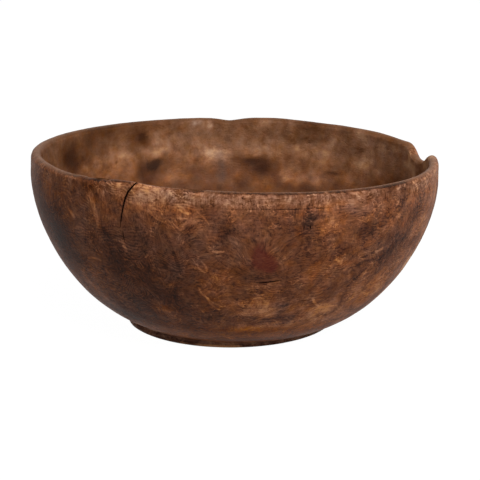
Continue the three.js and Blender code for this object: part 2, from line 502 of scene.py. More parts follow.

# Patches of figure on the outside, as seen from the front, and two of painted warmth on the low wall
OUTSIDE_MARKS = (
    # Left flank
    Mark(-62, 0.105, 0.03, 0.036, -0.6),
    Mark(-54, 0.086, 0.022, 0.03, -0.55, -15, -0.2),
    Mark(-42.5, 0.121, 0.007, 0.02, -0.2, -8),
    Mark(-34.5, 0.106, 0.006, 0.011, -0.5, 30, -0.2),
    Mark(-40, 0.085, 0.01, 0.024, -0.25, -15),
    Mark(-36, 0.064, 0.016, 0.014, -0.3),
    Mark(-65, 0.095, 0.05, 0.05, -0.25),
    Mark(-58, 0.13, 0.012, 0.014, 0.5),
    Mark(-40, 0.022, 0.04, 0.01, -0.45),
    Mark(-62, 0.1, 0.04, 0.05, 0, warmth=0.7),
    Mark(-44, 0.108, 0.008, 0.022, 0, -15, -0.5),
    Mark(-40, 0.141, 0.014, 0.007, -0.45, warmth=0.4),
    Mark(-42, 0.03, 0.03, 0.01, -0.5),
    Mark(-45.5, 0.13, 0.006, 0.008, -0.4),
    # Round the crack, and below it
    Mark(-33.5, 0.085, 0.01, 0.02, -0.6),
    Mark(-26, 0.08, 0.02, 0.018, -0.6),
    Mark(-20, 0.062, 0.022, 0.02, -0.6, warmth=-0.1),
    Mark(-14, 0.047, 0.02, 0.012, -0.35),
    Mark(-27, 0.048, 0.02, 0.014, -0.4, warmth=-0.2),
    Mark(-23, 0.124, 0.01, 0.012, -0.15),
    Mark(-15.5, 0.13, 0.014, 0.012, 0.25, warmth=0.1),
    Mark(-23, 0.146, 0.014, 0.005, 0.4, warmth=0.3),
    Mark(-23, 0.141, 0.013, 0.009, 0.42),
    Mark(-15.5, 0.14, 0.012, 0.008, 0.4),
    Mark(-17, 0.09, 0.016, 0.014, -0.4),
    Mark(-23, 0.108, 0.012, 0.01, -0.35),
    Mark(-26, 0.139, 0.006, 0.006, 0.35),
    Mark(-20, 0.073, 0.01, 0.01, 0.45),
    Mark(-33, 0.038, 0.04, 0.02, -0.4),
    Mark(-22.5, 0.133, 0.012, 0.008, 0.3),
    Mark(-26, 0.104, 0.012, 0.009, -0.35),
    Mark(-22.5, 0.045, 0.008, 0.009, 0.8),
    # Painted warmth on the low wall, against the floor's grey reflection there
    Mark(-25, 0.02, 0.06, 0.012, 0, warmth=0.8),
    Mark(-27, 0.105, 0.022, 0.02, 0, warmth=-0.3),
    Mark(-15, 0.083, 0.01, 0.008, 0, -30, -0.7),
    Mark(-22, 0.045, 0.012, 0.008, 0, warmth=0.5),
    Mark(-13, 0.075, 0.02, 0.02, -0.15),
    Mark(-33, 0.095, 0.02, 0.016, -0.12),
    Mark(-20.5, 0.141, 0.005, 0.006, -0.6),
    Mark(-32.3, 0.131, 0.007, 0.007, -0.45),
    Mark(-29.5, 0.142, 0.008, 0.006, 0.5),
    Mark(-29, 0.119, 0.005, 0.008, -0.3),
    # Left of the red knot
    Mark(-6, 0.13, 0.007, 0.01, -0.4),
    Mark(-2.5, 0.117, 0.008, 0.007, -0.5),
    Mark(-8, 0.06, 0.014, 0.012, 0.12, warmth=0.2),
    Mark(-3, 0.085, 0.02, 0.014, 0.08, warmth=0.2),
    Mark(1.5, 0.095, 0.006, 0.012, -0.2),
    Mark(-1, 0.04, 0.012, 0.006, -0.3),
    Mark(-4, 0.082, 0.01, 0.012, 0.25),
    Mark(-9, 0.06, 0.01, 0.007, -0.25),
    Mark(-7, 0.095, 0.01, 0.006, -0.3),
    Mark(-12, 0.026, 0.03, 0.01, -0.4),
    Mark(-3, 0.103, 0.006, 0.014, -0.3),
    Mark(-11, 0.068, 0.01, 0.01, -0.22),
    Mark(-3, 0.049, 0.014, 0.006, -0.4),
    Mark(-8, 0.105, 0.045, 0.018, 0, warmth=-0.35),
    Mark(3, 0.056, 0.01, 0.008, 0.45, warmth=0.1),
    Mark(-9.5, 0.123, 0.009, 0.006, 0.5, -20),
    Mark(3.2, 0.093, 0.006, 0.01, -0.3),
    Mark(-2, 0.118, 0.006, 0.008, -0.25),
    Mark(-11, 0.105, 0.012, 0.006, -0.25),
    Mark(0.5, 0.082, 0.007, 0.006, -0.3),
    # Round the red knot
    Mark(14.5, 0.116, 0.01, 0.008, -0.35, 20),
    Mark(16, 0.104, 0.01, 0.008, -0.25, 30),
    Mark(8.5, 0.0795, 0.018, 0.005, -0.5, 4, -0.2),
    Mark(7, 0.053, 0.022, 0.009, 0.25, 10),
    Mark(12, 0.06, 0.014, 0.006, 0.22, warmth=0.2),
    Mark(15, 0.036, 0.02, 0.006, -0.35, 8, -0.1),
    Mark(10, 0.126, 0.018, 0.01, -0.35),
    Mark(15, 0.106, 0.01, 0.009, 0.15),
    Mark(10.5, 0.089, 0.007, 0.008, -0.35),
    Mark(6, 0.065, 0.01, 0.006, -0.7),
    Mark(15, 0.06, 0.006, 0.012, -0.6),
    Mark(8, 0.046, 0.018, 0.006, 0.45, 10),
    Mark(12, 0.01, 0.036, 0.008, -0.5),
    Mark(10.5, 0.055, 0.01, 0.008, 0.35),
    Mark(14, 0.047, 0.006, 0.006, -0.35),
    Mark(4, 0.029, 0.02, 0.007, 0.6, warmth=0.2),
    # Painted warmth on the low wall, against the floor's grey reflection there
    Mark(12, 0.02, 0.06, 0.012, 0, warmth=0.6),
    Mark(14, 0.052, 0.006, 0.012, 0, warmth=-0.6),
    Mark(16.5, 0.117, 0.005, 0.006, 0.4),
    Mark(15.5, 0.043, 0.008, 0.007, -0.5, 10),
    Mark(10.8, 0.0475, 0.007, 0.008, 0.9),
    Mark(17.8, 0.145, 0.007, 0.006, -0.45),
    Mark(9.2, 0.05, 0.007, 0.004, -0.55),
    # Right front
    Mark(18.6, 0.1265, 0.0052, 0.012, -1, warmth=-0.3),
    Mark(24.8, 0.128, 0.011, 0.009, 0.75, warmth=0.2),
    Mark(25.5, 0.138, 0.012, 0.005, 0.35, warmth=0.3),
    Mark(33.5, 0.1165, 0.01, 0.006, -0.45, warmth=-0.1),
    Mark(22, 0.088, 0.012, 0.008, 0.18, warmth=0.2),
    Mark(36, 0.064, 0.005, 0.009, -0.3),
    Mark(21, 0.111, 0.01, 0.005, -0.35),
    Mark(37.5, 0.115, 0.012, 0.008, -0.6, 15),
    Mark(29, 0.102, 0.01, 0.006, -0.4, 15),
    Mark(23, 0.045, 0.03, 0.011, 0.45, 10, 0.1),
    Mark(21.2, 0.1415, 0.008, 0.005, 0.5),
    Mark(27.5, 0.098, 0.006, 0.006, -0.35),
    Mark(30.5, 0.084, 0.01, 0.006, 0.45, 20),
    Mark(27, 0.045, 0.018, 0.012, 0.25, 10),
    Mark(20.5, 0.032, 0.024, 0.007, 0.75, 8),
    Mark(34.6, 0.057, 0.006, 0.009, 0.75),
    Mark(30, 0.132, 0.03, 0.004, 0, warmth=-0.4),
    Mark(31, 0.041, 0.02, 0.012, 0.35, 12),
    Mark(21.5, 0.13, 0.006, 0.01, -0.4),
    Mark(38, 0.146, 0.006, 0.005, 0.35, warmth=-0.2),
    Mark(29, 0.067, 0.007, 0.008, -0.4),
    Mark(22.5, 0.1165, 0.007, 0.009, -0.25),
    Mark(19.4, 0.036, 0.008, 0.005, -0.5, 8),
    Mark(28.5, 0.03, 0.012, 0.006, 0.4, 10),
    Mark(23.2, 0.05, 0.006, 0.005, 0.4),
    Mark(27.5, 0.128, 0.005, 0.01, -0.25),
    # Right flank
    Mark(58, 0.131, 0.009, 0.011, -0.35, -30, -0.3),
    Mark(49, 0.13, 0.006, 0.011, -0.6, warmth=-0.2),
    Mark(47, 0.103, 0.009, 0.013, -0.2, -50, -0.3),
    Mark(41, 0.094, 0.006, 0.012, -0.15, -65, -0.3),
    Mark(40, 0.033, 0.03, 0.01, 0.4, 15),
    Mark(70, 0.126, 0.014, 0.012, 0.55, warmth=-0.4),
    Mark(48, 0.084, 0.007, 0.018, -0.3, -50),
    Mark(44, 0.147, 0.022, 0.006, -0.6),
    Mark(67, 0.085, 0.014, 0.04, 0.5),
    Mark(55, 0.138, 0.014, 0.01, 0.35),
    Mark(45.5, 0.086, 0.007, 0.009, -0.35, -45),
    Mark(80, 0.135, 0.02, 0.01, 0.45),
    Mark(50, 0.05, 0.022, 0.022, 0.5, warmth=0.5),
    Mark(42, 0.058, 0.018, 0.014, 0.35, -30),
    Mark(70, 0.072, 0.016, 0.026, 0.75),
    Mark(60, 0.09, 0.014, 0.03, 0.45, -20),
    Mark(42.5, 0.141, 0.008, 0.006, -0.4),
    Mark(49, 0.143, 0.01, 0.008, -0.3, warmth=-0.2),
    Mark(67, 0.04, 0.016, 0.016, 0.6),
)

# Patches of figure on the inside of the far wall, and a few of painted light and shade
INSIDE_MARKS = (
    # Right wall, up to the notch and beyond
    Mark(115, 0.095, 0.02, 0.014, -0.4, warmth=0.4),
    Mark(105, 0.115, 0.015, 0.02, -0.25),
    Mark(132, 0.12, 0.012, 0.008, 0.5),
    Mark(120, 0.118, 0.035, 0.025, 0.35),
    Mark(117, 0.09, 0.014, 0.008, -0.5),
    # Painted light on the right inside wall, which the key lamp leaves in shade
    Mark(103, 0.12, 0.02, 0.022, 0.2),
    # Painted light on the knob beside the notch, whose inner face lies in shade
    Mark(90, 0.146, 0.022, 0.012, 0.5),
    Mark(93, 0.136, 0.013, 0.01, 1.2),
    Mark(122, 0.138, 0.034, 0.007, 0.5),
    Mark(118, 0.096, 0.024, 0.011, -0.75),
    Mark(134.1, 0.128, 0.008, 0.0022, -0.6, 3),
    Mark(114, 0.111, 0.012, 0.006, -0.4),
    Mark(124.5, 0.1115, 0.004, 0.0024, 0.55, warmth=0.2),
    # Painted shade on the round inside of the lip, where the key lamp lights it
    Mark(119, 0.148, 0.032, 0.003, -0.3, warmth=0.3),
    Mark(112, 0.1425, 0.009, 0.005, 0.55, warmth=0.1),
    Mark(104, 0.128, 0.017, 0.01, 0.75),
    Mark(134, 0.142, 0.013, 0.005, 0.4),
    Mark(111, 0.131, 0.008, 0.006, 0.45),
    Mark(130, 0.12, 0.007, 0.006, 0.35),
    # Right of the middle of the back
    Mark(154, 0.133, 0.011, 0.005, -0.35),
    Mark(145, 0.098, 0.008, 0.008, -0.25),
    Mark(162, 0.097, 0.012, 0.01, 0.35),
    Mark(157, 0.126, 0.008, 0.009, -0.25),
    Mark(151, 0.122, 0.014, 0.009, 0.35),
    Mark(158.5, 0.09, 0.009, 0.006, 0.65),
    Mark(152, 0.0955, 0.022, 0.007, 0.5, warmth=-0.4),
    Mark(153, 0.084, 0.018, 0.006, -0.5),
    Mark(160, 0.093, 0.01, 0.006, 0.45),
    Mark(146, 0.114, 0.01, 0.009, 0.45),
    Mark(145, 0.131, 0.006, 0.006, 0.6),
    Mark(163, 0.085, 0.016, 0.004, -0.25),
    Mark(154.5, 0.12, 0.012, 0.007, 0.6),
    Mark(153.8, 0.142, 0.009, 0.004, -0.55),
    Mark(144, 0.14, 0.006, 0.008, 0.35),
    Mark(148, 0.094, 0.01, 0.008, 0.4),
    Mark(143.4, 0.1032, 0.009, 0.0018, -0.75, 5),
    Mark(154.5, 0.131, 0.0058, 0.0014, -0.6, 27),
    Mark(159.7, 0.1288, 0.0055, 0.0014, -0.5, 46),
    Mark(157.5, 0.1222, 0.004, 0.0022, 0.65, warmth=0.2),
    Mark(141.2, 0.0915, 0.0022, 0.0055, -0.5),
    Mark(161, 0.137, 0.006, 0.005, 0.4),
    Mark(136, 0.1, 0.006, 0.005, 0.4),
    # Middle of the back
    Mark(-174.8, 0.099, 0.0035, 0.013, -0.35, warmth=-0.8),
    Mark(173, 0.101, 0.02, 0.006, -0.45, -8),
    Mark(168, 0.099, 0.01, 0.008, -0.7),
    Mark(-172, 0.113, 0.01, 0.006, 0.85, warmth=-0.5),
    Mark(-163, 0.086, 0.014, 0.005, -0.2),
    Mark(168, 0.109, 0.02, 0.005, -0.3),
    Mark(-166, 0.144, 0.003, 0.003, 1, warmth=-0.8),
    Mark(-171.3, 0.144, 0.003, 0.003, 1.1, warmth=-0.8),
    Mark(-172, 0.117, 0.022, 0.006, 0.45),
    Mark(165, 0.12, 0.01, 0.011, 0.4),
    Mark(-167, 0.095, 0.006, 0.008, -0.35),
    Mark(165, 0.09, 0.006, 0.007, -0.3),
    Mark(-165.2, 0.11, 0.004, 0.01, 0.6),
    Mark(-176, 0.112, 0.008, 0.006, 0.65, warmth=-0.3),
    Mark(-161, 0.091, 0.012, 0.006, 0.3),
    Mark(177.5, 0.122, 0.006, 0.006, 0.4),
    Mark(170, 0.146, 0.009, 0.004, 0.45),
    Mark(-170, 0.077, 0.006, 0.005, -0.5),
    Mark(-168, 0.125, 0.008, 0.009, 0.5),
    Mark(174, 0.107, 0.012, 0.004, -0.75, -6),
    Mark(171, 0.118, 0.01, 0.006, 0.65),
    Mark(171, 0.096, 0.008, 0.006, -0.35),
    Mark(176, 0.085, 0.008, 0.005, -0.45),
    Mark(-179, 0.1085, 0.008, 0.003, -0.5),
    Mark(-174.4, 0.0818, 0.003, 0.003, -0.6),
    Mark(-170.5, 0.1115, 0.007, 0.005, 0.65),
    Mark(180, 0.093, 0.006, 0.006, 0.45),
    Mark(167, 0.126, 0.007, 0.005, 0.5),
    Mark(-168.6, 0.1425, 0.005, 0.004, 0.5),
    Mark(170, 0.084, 0.006, 0.005, 0.4),
    # Round the black knot
    Mark(-147, 0.132, 0.007, 0.01, -0.4),
    Mark(-138, 0.112, 0.02, 0.014, 0.35, warmth=0.1),
    Mark(-157, 0.127, 0.013, 0.01, 0.4),
    Mark(-150, 0.103, 0.013, 0.01, -0.65),
    Mark(-160, 0.097, 0.01, 0.005, 0.4, 30),
    Mark(-147, 0.091, 0.008, 0.006, -0.5),
    Mark(-144, 0.132, 0.012, 0.009, -0.4),
    Mark(-138, 0.117, 0.008, 0.006, 0.4),
    Mark(-150, 0.1135, 0.009, 0.006, 0.7, 20),
    Mark(-146, 0.1, 0.005, 0.008, -0.4),
    Mark(-146, 0.143, 0.012, 0.005, -0.25),
    Mark(-154, 0.117, 0.008, 0.005, 0.45),
    Mark(-157, 0.092, 0.006, 0.005, 0.55),
    Mark(-147.6, 0.1355, 0.0035, 0.0035, -0.5),
    Mark(-153.3, 0.108, 0.004, 0.003, -0.55),
    Mark(-135.9, 0.1113, 0.0018, 0.0018, -0.8),
    Mark(-147.5, 0.129, 0.006, 0.005, -0.4),
    Mark(-153, 0.128, 0.006, 0.005, 0.4),
    # Left wall
    Mark(-119, 0.109, 0.02, 0.012, -0.4),
    Mark(-131.5, 0.127, 0.006, 0.015, -0.25),
    Mark(-110, 0.125, 0.012, 0.01, -0.6),
    Mark(-121.3, 0.109, 0.01, 0.005, 0.65),
    Mark(-133, 0.147, 0.02, 0.006, -0.55),
    Mark(-135, 0.133, 0.006, 0.012, -0.3),
    Mark(-124.7, 0.134, 0.011, 0.012, -0.65),
    Mark(-115, 0.126, 0.012, 0.014, -0.95),
    Mark(-128, 0.112, 0.01, 0.006, 0.4),
    Mark(-121, 0.119, 0.008, 0.005, -0.4),
)

# Where the knots stain the wood: the red one on the outside, the black one on the inside
RED_STAINS = (
    Mark(6.1, 0.0985, 0.0052, 0.0112, 1.1),
    Mark(8.6, 0.094, 0.0062, 0.009, 0.9),
    Mark(10, 0.0902, 0.0056, 0.0064, 0.8),
)
BLACK_STAINS = (
    Mark(-151, 0.1048, 0.0078, 0.005, 1, -25),
    Mark(-148.5, 0.1035, 0.012, 0.007, 0.25),
)

# Thin lines of figure on the outside
STROKES = (
    Stroke(-39.5, 0.137, -37.0, 0.112, 0.001, 0.0024, 0.45),
    Stroke(-29.5, 0.0985, -29.2, 0.0962, 0.0, 0.0016, 0.6),
    Stroke(-47.4, 0.1176, -46.4, 0.1150, 0.0, 0.0018, 0.65),
    Stroke(-48.6, 0.1215, -48.0, 0.1190, 0.0, 0.0012, 0.35),
    Stroke(-44.6, 0.0804, -39.6, 0.0816, 0.001, 0.0011, 0.5),
    Stroke(-51.9, 0.0617, -50.0, 0.0491, 0.0, 0.0024, 0.3),
    Stroke(-38.7, 0.0738, -38.2, 0.0712, 0.0, 0.0016, 0.4),
    Stroke(6.5, 0.0777, 12.6, 0.0801, -0.0005, 0.0006, 0.2),
    Stroke(2.5, 0.0435, 21.1, 0.0429, -0.004, 0.0024, -0.3),
    Stroke(0.0, 0.0530, 20.0, 0.0560, -0.004, 0.0006, -0.25),
    Stroke(2.0, 0.0565, 16.0, 0.0600, -0.004, 0.0006, 0.2),
    Stroke(1.0, 0.0605, 18.0, 0.0640, -0.003, 0.0005, -0.2),
    Stroke(3.0, 0.0475, 22.0, 0.0520, -0.004, 0.0005, -0.2),
    Stroke(-11.6, 0.1478, -8.4, 0.1482, 0.0, 0.0012, -0.6),
    Stroke(-38.3, 0.1475, -36.9, 0.1478, 0.0, 0.0013, -0.8),
    Stroke(-35.3, 0.1480, -34.7, 0.1480, 0.0, 0.0009, -0.6),
    Stroke(-14.5, 0.1370, -11.5, 0.1310, 0.001, 0.0009, 0.4),
    Stroke(-13.5, 0.1335, -10.8, 0.1315, -0.001, 0.0008, 0.5),
    Stroke(-14.0, 0.1270, -11.8, 0.1275, 0.0, 0.0008, 0.45),
    Stroke(-12.5, 0.1410, -11.3, 0.1340, 0.001, 0.0008, 0.35),
    Stroke(-9.2, 0.1330, -6.3, 0.1240, 0.0006, 0.0007, 0.3),
    Stroke(-5.2, 0.1025, -2.6, 0.1028, -0.0005, 0.0009, 0.75),
    Stroke(-4.2, 0.0985, -3.4, 0.0990, 0.0, 0.0010, 0.4),
    Stroke(-9.5, 0.0905, -7.6, 0.0840, -0.001, 0.0009, 0.5),
    Stroke(-8.2, 0.0930, -7.0, 0.0855, 0.001, 0.0008, 0.45),
    Stroke(-9.4, 0.0695, -7.2, 0.0605, -0.0015, 0.0010, 0.5),
    Stroke(-7.2, 0.0605, -4.0, 0.0495, -0.002, 0.0010, 0.42),
    Stroke(-8.0, 0.0640, -5.6, 0.0560, -0.001, 0.0007, 0.35),
    Stroke(-5.8, 0.0555, -3.0, 0.0515, 0.001, 0.0007, 0.3),
    Stroke(-4.0, 0.0495, -2.3, 0.0530, 0.0015, 0.0009, 0.4),
    Stroke(-6.6, 0.0665, -4.8, 0.0655, 0.001, 0.0008, 0.35),
    Stroke(24.3, 0.0578, 29.0, 0.0465, -0.001, 0.0010, 0.55),
    Stroke(28.6, 0.0465, 35.0, 0.0462, 0.0005, 0.0009, 0.45),
    Stroke(29.5, 0.0430, 35.0, 0.0415, 0.0, 0.0008, 0.3),
    Stroke(41.8, 0.0930, 43.6, 0.0950, 0.0, 0.0013, 0.6),
    Stroke(39.0, 0.0728, 40.3, 0.0760, 0.0, 0.0015, 0.5),
    Stroke(54.2, 0.1440, 56.4, 0.1380, 0.0008, 0.0011, 0.6),
    Stroke(51.8, 0.1321, 47.8, 0.1212, 0.0, 0.0024, 0.3),
    Stroke(47.8, 0.1212, 42.4, 0.1122, 0.0, 0.0022, 0.3),
    Stroke(58.5, 0.1200, 52.9, 0.1007, 0.0, 0.0050, -0.18),
    Stroke(52.9, 0.1007, 44.0, 0.0848, 0.0, 0.0050, -0.25),
    Stroke(44.0, 0.0848, 35.5, 0.0847, -0.002, 0.0018, -0.35),
    Stroke(28.0, 0.0925, 29.6, 0.0885, 0.0, 0.0011, 0.5),
    Stroke(29.8, 0.0910, 30.2, 0.0860, 0.0, 0.0009, 0.4),
    Stroke(31.8, 0.1435, 32.8, 0.1405, 0.0, 0.0010, 0.5),
    Stroke(26.0, 0.1380, 26.4, 0.1345, 0.0, 0.0009, 0.45),
    Stroke(-30.5, 0.1470, -30.2, 0.1470, 0.0, 0.0019, 0.8),
    Stroke(-9.0, 0.1430, -7.2, 0.1425, 0.0, 0.0010, 0.25),
    Stroke(-17.5, 0.1130, -15.5, 0.0990, 0.001, 0.0012, -0.25),
    Stroke(-15.5, 0.0990, -14.5, 0.0880, 0.0, 0.0012, -0.22),
    Stroke(-15.0, 0.0780, -16.8, 0.0500, -0.002, 0.0016, -0.18),
    Stroke(-36.0, 0.1120, -33.0, 0.1035, 0.0, 0.0022, -0.22),
    Stroke(-18.9, 0.1225, -18.6, 0.1225, 0.0, 0.0014, -0.5),
    Stroke(11.0, 0.1358, 17.2, 0.1355, 0.0, 0.0004, -0.5),
    Stroke(-2.0, 0.1360, 11.0, 0.1358, 0.0, 0.0004, -0.25),
    Stroke(17.2, 0.1355, 30.0, 0.1350, 0.0, 0.0004, -0.15),
    Stroke(36.0, 0.0905, 40.5, 0.0935, 0.0, 0.0014, -0.45),
    Stroke(35.4, 0.0650, 38.6, 0.0765, 0.0, 0.0012, -0.3),
)


def linear(red, green, blue):
    """A colour given as screen values from 0 to 255, as the linear values that Blender's sockets take."""
    shares = (channel / 255 for channel in (red, green, blue))
    return tuple(c / 12.92 if c <= 0.04045 else ((c + 0.055) / 1.055) ** 2.4 for c in shares)


def length(name, description, default):
    return FloatProperty(name=name, description=description, default=default, unit="LENGTH", precision=4)


def angle(name, description, degrees):
    default = math.radians(degrees)
    return FloatProperty(name=name, description=description, default=default, subtype="ANGLE")


def colour(name, description, red, green, blue):
    return FloatVectorProperty(
        name=name,
        description=description,
        default=linear(red, green, blue),
        subtype="COLOR",
        min=0.0,
        max=1.0,
    )


class BurlBowlShape(bpy.types.PropertyGroup):
    """Sizes of the turned bowl"""

    belly_radius: length("Belly radius", "Radius of the widest ring", 0.175)
    belly_height: length("Belly height", "Height of the widest ring", 0.1299)
    wall_foot_angle: angle("Wall angle", "Slope of the wall where it leaves the foot", 22.9)
    wall_foot_reach: length("Wall foot reach", "How far the wall keeps that slope", 0.0614)
    wall_belly_reach: length("Wall belly reach", "How far the wall stays upright under the belly", 0.034)
    collar_height: length("Collar height", "From the belly up to the crest of the lip", 0.0179)
    collar_draw: length("Collar draw", "How much narrower the lip is than the belly", 0.0005)
    lip_thickness: length("Lip thickness", "Thickness of the rounded lip", 0.0095)
    floor_height: length("Floor height", "Inside floor above the table", 0.017)
    inner_wall_reach: length("Inner wall reach", "How far the inside stays upright under the lip", 0.080)
    inner_floor_reach: length("Inner floor reach", "How far out the inside floor stays level", 0.115)
    scribe_rise: length("Scribe rise", "Height of the scribed line over the belly", 0.0054)
    scribe_width: length("Scribe width", "Width of the scribed line", 0.0012)
    scribe_depth: length("Scribe depth", "Depth of the scribed line where it is least worn", 0.0004)
    foot_radius: length("Foot radius", "Radius of the foot ring", 0.092)
    foot_height: length("Foot height", "Height of the foot ring", 0.0043)
    foot_edge: length("Foot edge", "Round on the lower edge of the foot", 0.0008)
    cove_depth: length("Cove depth", "Depth of the cove over the foot", 0.002)
    cove_height: length("Cove height", "Height of the deepest part of the cove", 0.0026)
    foot_ring_width: length("Foot ring width", "Width of the ring that the bowl stands on", 0.015)
    hollow_depth: length("Hollow depth", "Depth of the hollow under the bowl", 0.003)
    hollow_edge: length("Hollow edge", "Width of the hollow's sloping side", 0.004)
    lean: angle("Lean", "How far the bowl tips to the right on its worn foot", 1.35)
    rim_saddle: length("Rim saddle", "How far the lip rises and falls twice round", 0.0012)
    notch_bearing: FloatProperty(name="Notch bearing", description="Bearing of the notch", default=103)
    notch_depth: length("Notch depth", "Depth of the broken notch in the lip", 0.0113)
    notch_far_run: length("Notch far run", "Length of the notch's steep far side", 0.028)
    notch_near_run: length("Notch near run", "Length of the notch's near side", 0.044)
    crack_step: length("Crack step", "How far the wood stands proud beside the crack", 0.0007)
    unevenness: length("Unevenness", "How far the worn surface dips", 0.0007)


class BurlBowlWood(bpy.types.PropertyGroup):
    """Colours of the wood"""

    deepest: colour("Deepest", "Darkest streaks of the burl", 37, 21, 14)
    dark: colour("Dark", "Dark clouds of the burl", 70, 39, 26)
    brown: colour("Brown", "Brown of the burl", 112, 67, 43)
    tan: colour("Tan", "Lighter brown of the burl", 150, 93, 60)
    orange: colour("Orange", "Pale orange flecks", 196, 134, 86)
    # Rubbed: dry worn wood on the lip's crest, which also stands in for a painted highlight
    rubbed_and_lit: colour("Rubbed", "Dry wood on rubbed edges", 138, 104, 82)
    # Bare: raw worn wood on the foot's edge, which also stands in for painted light in the bowl's shade
    bare_and_lit: colour("Bare", "Raw wood on the worn foot", 255, 190, 134)
    red_knot: colour("Red knot", "Encased knot in the front", 88, 34, 27)
    black_knot: colour("Black knot", "Encased knot inside", 44, 29, 22)


class BurlBowlStage(bpy.types.PropertyGroup):
    """Light and floor"""

    key_power: FloatProperty(name="Key", description="Power of the key lamp", default=54, subtype="POWER")
    fill_power: FloatProperty(name="Fill", description="Power of the fill lamp", default=1, subtype="POWER")
    ambient: FloatProperty(name="Ambient", description="Strength of the light from all round", default=0.2)
    floor_size: length("Floor size", "Width of the white floor", 24.0)


def smoothstep(low, high, value):
    share = np.clip((value - low) / (high - low), 0.0, 1.0)
    return share * share * (3 - 2 * share)


def fading(distance, spread):
    """One at no distance, falling away softly over a spread."""
    return np.exp(-((distance / spread) ** 2))


def bezier(start, first, second, end):
    """Points along a cubic curve."""
    t = np.linspace(0.0, 1.0, CURVE_SAMPLES)[:, None]
    points = [np.array(p, float) for p in (start, first, second, end)]
    weights = ((1 - t) ** 3, 3 * t * (1 - t) ** 2, 3 * t * t * (1 - t), t**3)
    return sum(weight * point for weight, point in zip(weights, points))


def lengths_along(points):
    steps = np.linalg.norm(np.diff(points, axis=0), axis=1)
    return np.concatenate([[0.0], np.cumsum(steps)])


def evenly(points, spacing):
    """The same line in steps of about one spacing."""
    points = np.asarray(points, float)
    along = lengths_along(points)
    count = max(2, round(along[-1] / spacing) + 1)
    wanted = np.linspace(0.0, along[-1], count)
    return np.stack([np.interp(wanted, along, points[:, axis]) for axis in (0, 1)], axis=1)


def softened(points, rounds=2):
    """A line with its corners cut, so that it turns softly."""
    points = np.asarray(points, float)
    for _ in range(rounds):
        near = (1 - CORNER_CUT) * points[:-1] + CORNER_CUT * points[1:]
        far = CORNER_CUT * points[:-1] + (1 - CORNER_CUT) * points[1:]
        middle = np.stack([near, far], axis=1).reshape(-1, 2)
        points = np.vstack([points[:1], middle, points[-1:]])
    return points


def lip_base(shape):
    return shape.belly_height + shape.collar_height - shape.lip_thickness / 2


def rim_radius(shape):
    return shape.belly_radius - shape.collar_draw


def worn_foot(shape):
    """How far below the table the foot was turned, before it wore flat on a lean."""
    return shape.foot_radius * math.tan(shape.lean) + shape.foot_edge


def outer_wall(shape):
    """Half section of the outside, from the foot up to the base of the lip."""
    foot = np.array([shape.foot_radius, shape.foot_height])
    slope = np.array([math.cos(shape.wall_foot_angle), math.sin(shape.wall_foot_angle)])
    under_belly = (shape.belly_radius, shape.belly_height - shape.wall_belly_reach)
    belly = (shape.belly_radius, shape.belly_height)
    return bezier(foot, foot + slope * shape.wall_foot_reach, under_belly, belly)


def inner_wall(shape):
    """Half section of the inside, from the middle of the floor up to the base of the lip."""
    radius = rim_radius(shape) - shape.lip_thickness
    base = lip_base(shape)
    return bezier(
        (0.0, shape.floor_height),
        (shape.inner_floor_reach, shape.floor_height),
        (radius, base - shape.inner_wall_reach),
        (radius, base),
    )


def half_section(shape):
    """The whole half section, from the axis under the foot, round the lip, to the axis inside."""
    ring_inside = shape.foot_radius - shape.foot_ring_width
    foot_bottom = -worn_foot(shape)
    hollow = [
        (0.0, shape.hollow_depth),
        (ring_inside - shape.hollow_edge, shape.hollow_depth),
        (ring_inside, foot_bottom),
        (shape.foot_radius - shape.foot_edge, foot_bottom),
    ]
    foot = [
        (shape.foot_radius - shape.foot_edge, foot_bottom),
        (shape.foot_radius, foot_bottom / 2),
        (shape.foot_radius, shape.foot_edge),
        (shape.foot_radius - shape.cove_depth, shape.cove_height),
        (shape.foot_radius, shape.foot_height),
    ]
    collar = [(shape.belly_radius, shape.belly_height), (rim_radius(shape), lip_base(shape))]
    lip_radius = shape.lip_thickness / 2
    turn = np.linspace(0.0, math.pi, CURVE_SAMPLES)
    lip_middle = rim_radius(shape) - lip_radius
    lip = np.stack([lip_middle + lip_radius * np.cos(turn), lip_base(shape) + lip_radius * np.sin(turn)], 1)
    runs = [
        evenly(hollow, SPACING_UNDER),
        evenly(softened(foot), SPACING_FOOT),
        evenly(outer_wall(shape), SPACING_WALL),
        evenly(collar, SPACING_COLLAR),
        evenly(lip, SPACING_LIP),
        evenly(inner_wall(shape)[::-1], SPACING_INSIDE),
    ]
    return np.vstack([runs[0]] + [run[1:] for run in runs[1:]])


def deselect_all():
    if bpy.context.object and bpy.context.object.mode != "OBJECT":
        bpy.ops.object.mode_set(mode="OBJECT")
    bpy.ops.object.select_all(action="DESELECT")


def make_active(piece):
    deselect_all()
    piece.select_set(True)
    bpy.context.view_layer.objects.active = piece


def start_point(name, place):
    """A new object in edit mode that holds one selected vertex."""
    deselect_all()
    bpy.ops.mesh.primitive_plane_add(size=1.0)
    piece = bpy.context.object
    piece.name = name
    piece.data.name = name
    bpy.ops.object.mode_set(mode="EDIT")
    bpy.ops.mesh.merge(type="CENTER")
    bpy.ops.transform.translate(value=place)
    return piece


def draw_line(points):
    """Extrudes the selected vertex along a line of points."""
    for step in np.diff(np.asarray(points, float), axis=0):
        bpy.ops.mesh.extrude_region_move(TRANSFORM_OT_translate={"value": tuple(step)})


def face_outwards():
    """Turns every face of the mesh in edit mode outwards, and leaves edit mode."""
    bpy.ops.mesh.select_all(action="SELECT")
    bpy.ops.mesh.normals_make_consistent(inside=False)
    bpy.ops.object.mode_set(mode="OBJECT")


def apply_modifier(piece, kind, **settings):
    make_active(piece)
    modifier = piece.modifiers.new(kind.title(), kind)
    for name, value in settings.items():
        setattr(modifier, name, value)
    bpy.ops.object.modifier_apply(modifier=modifier.name)


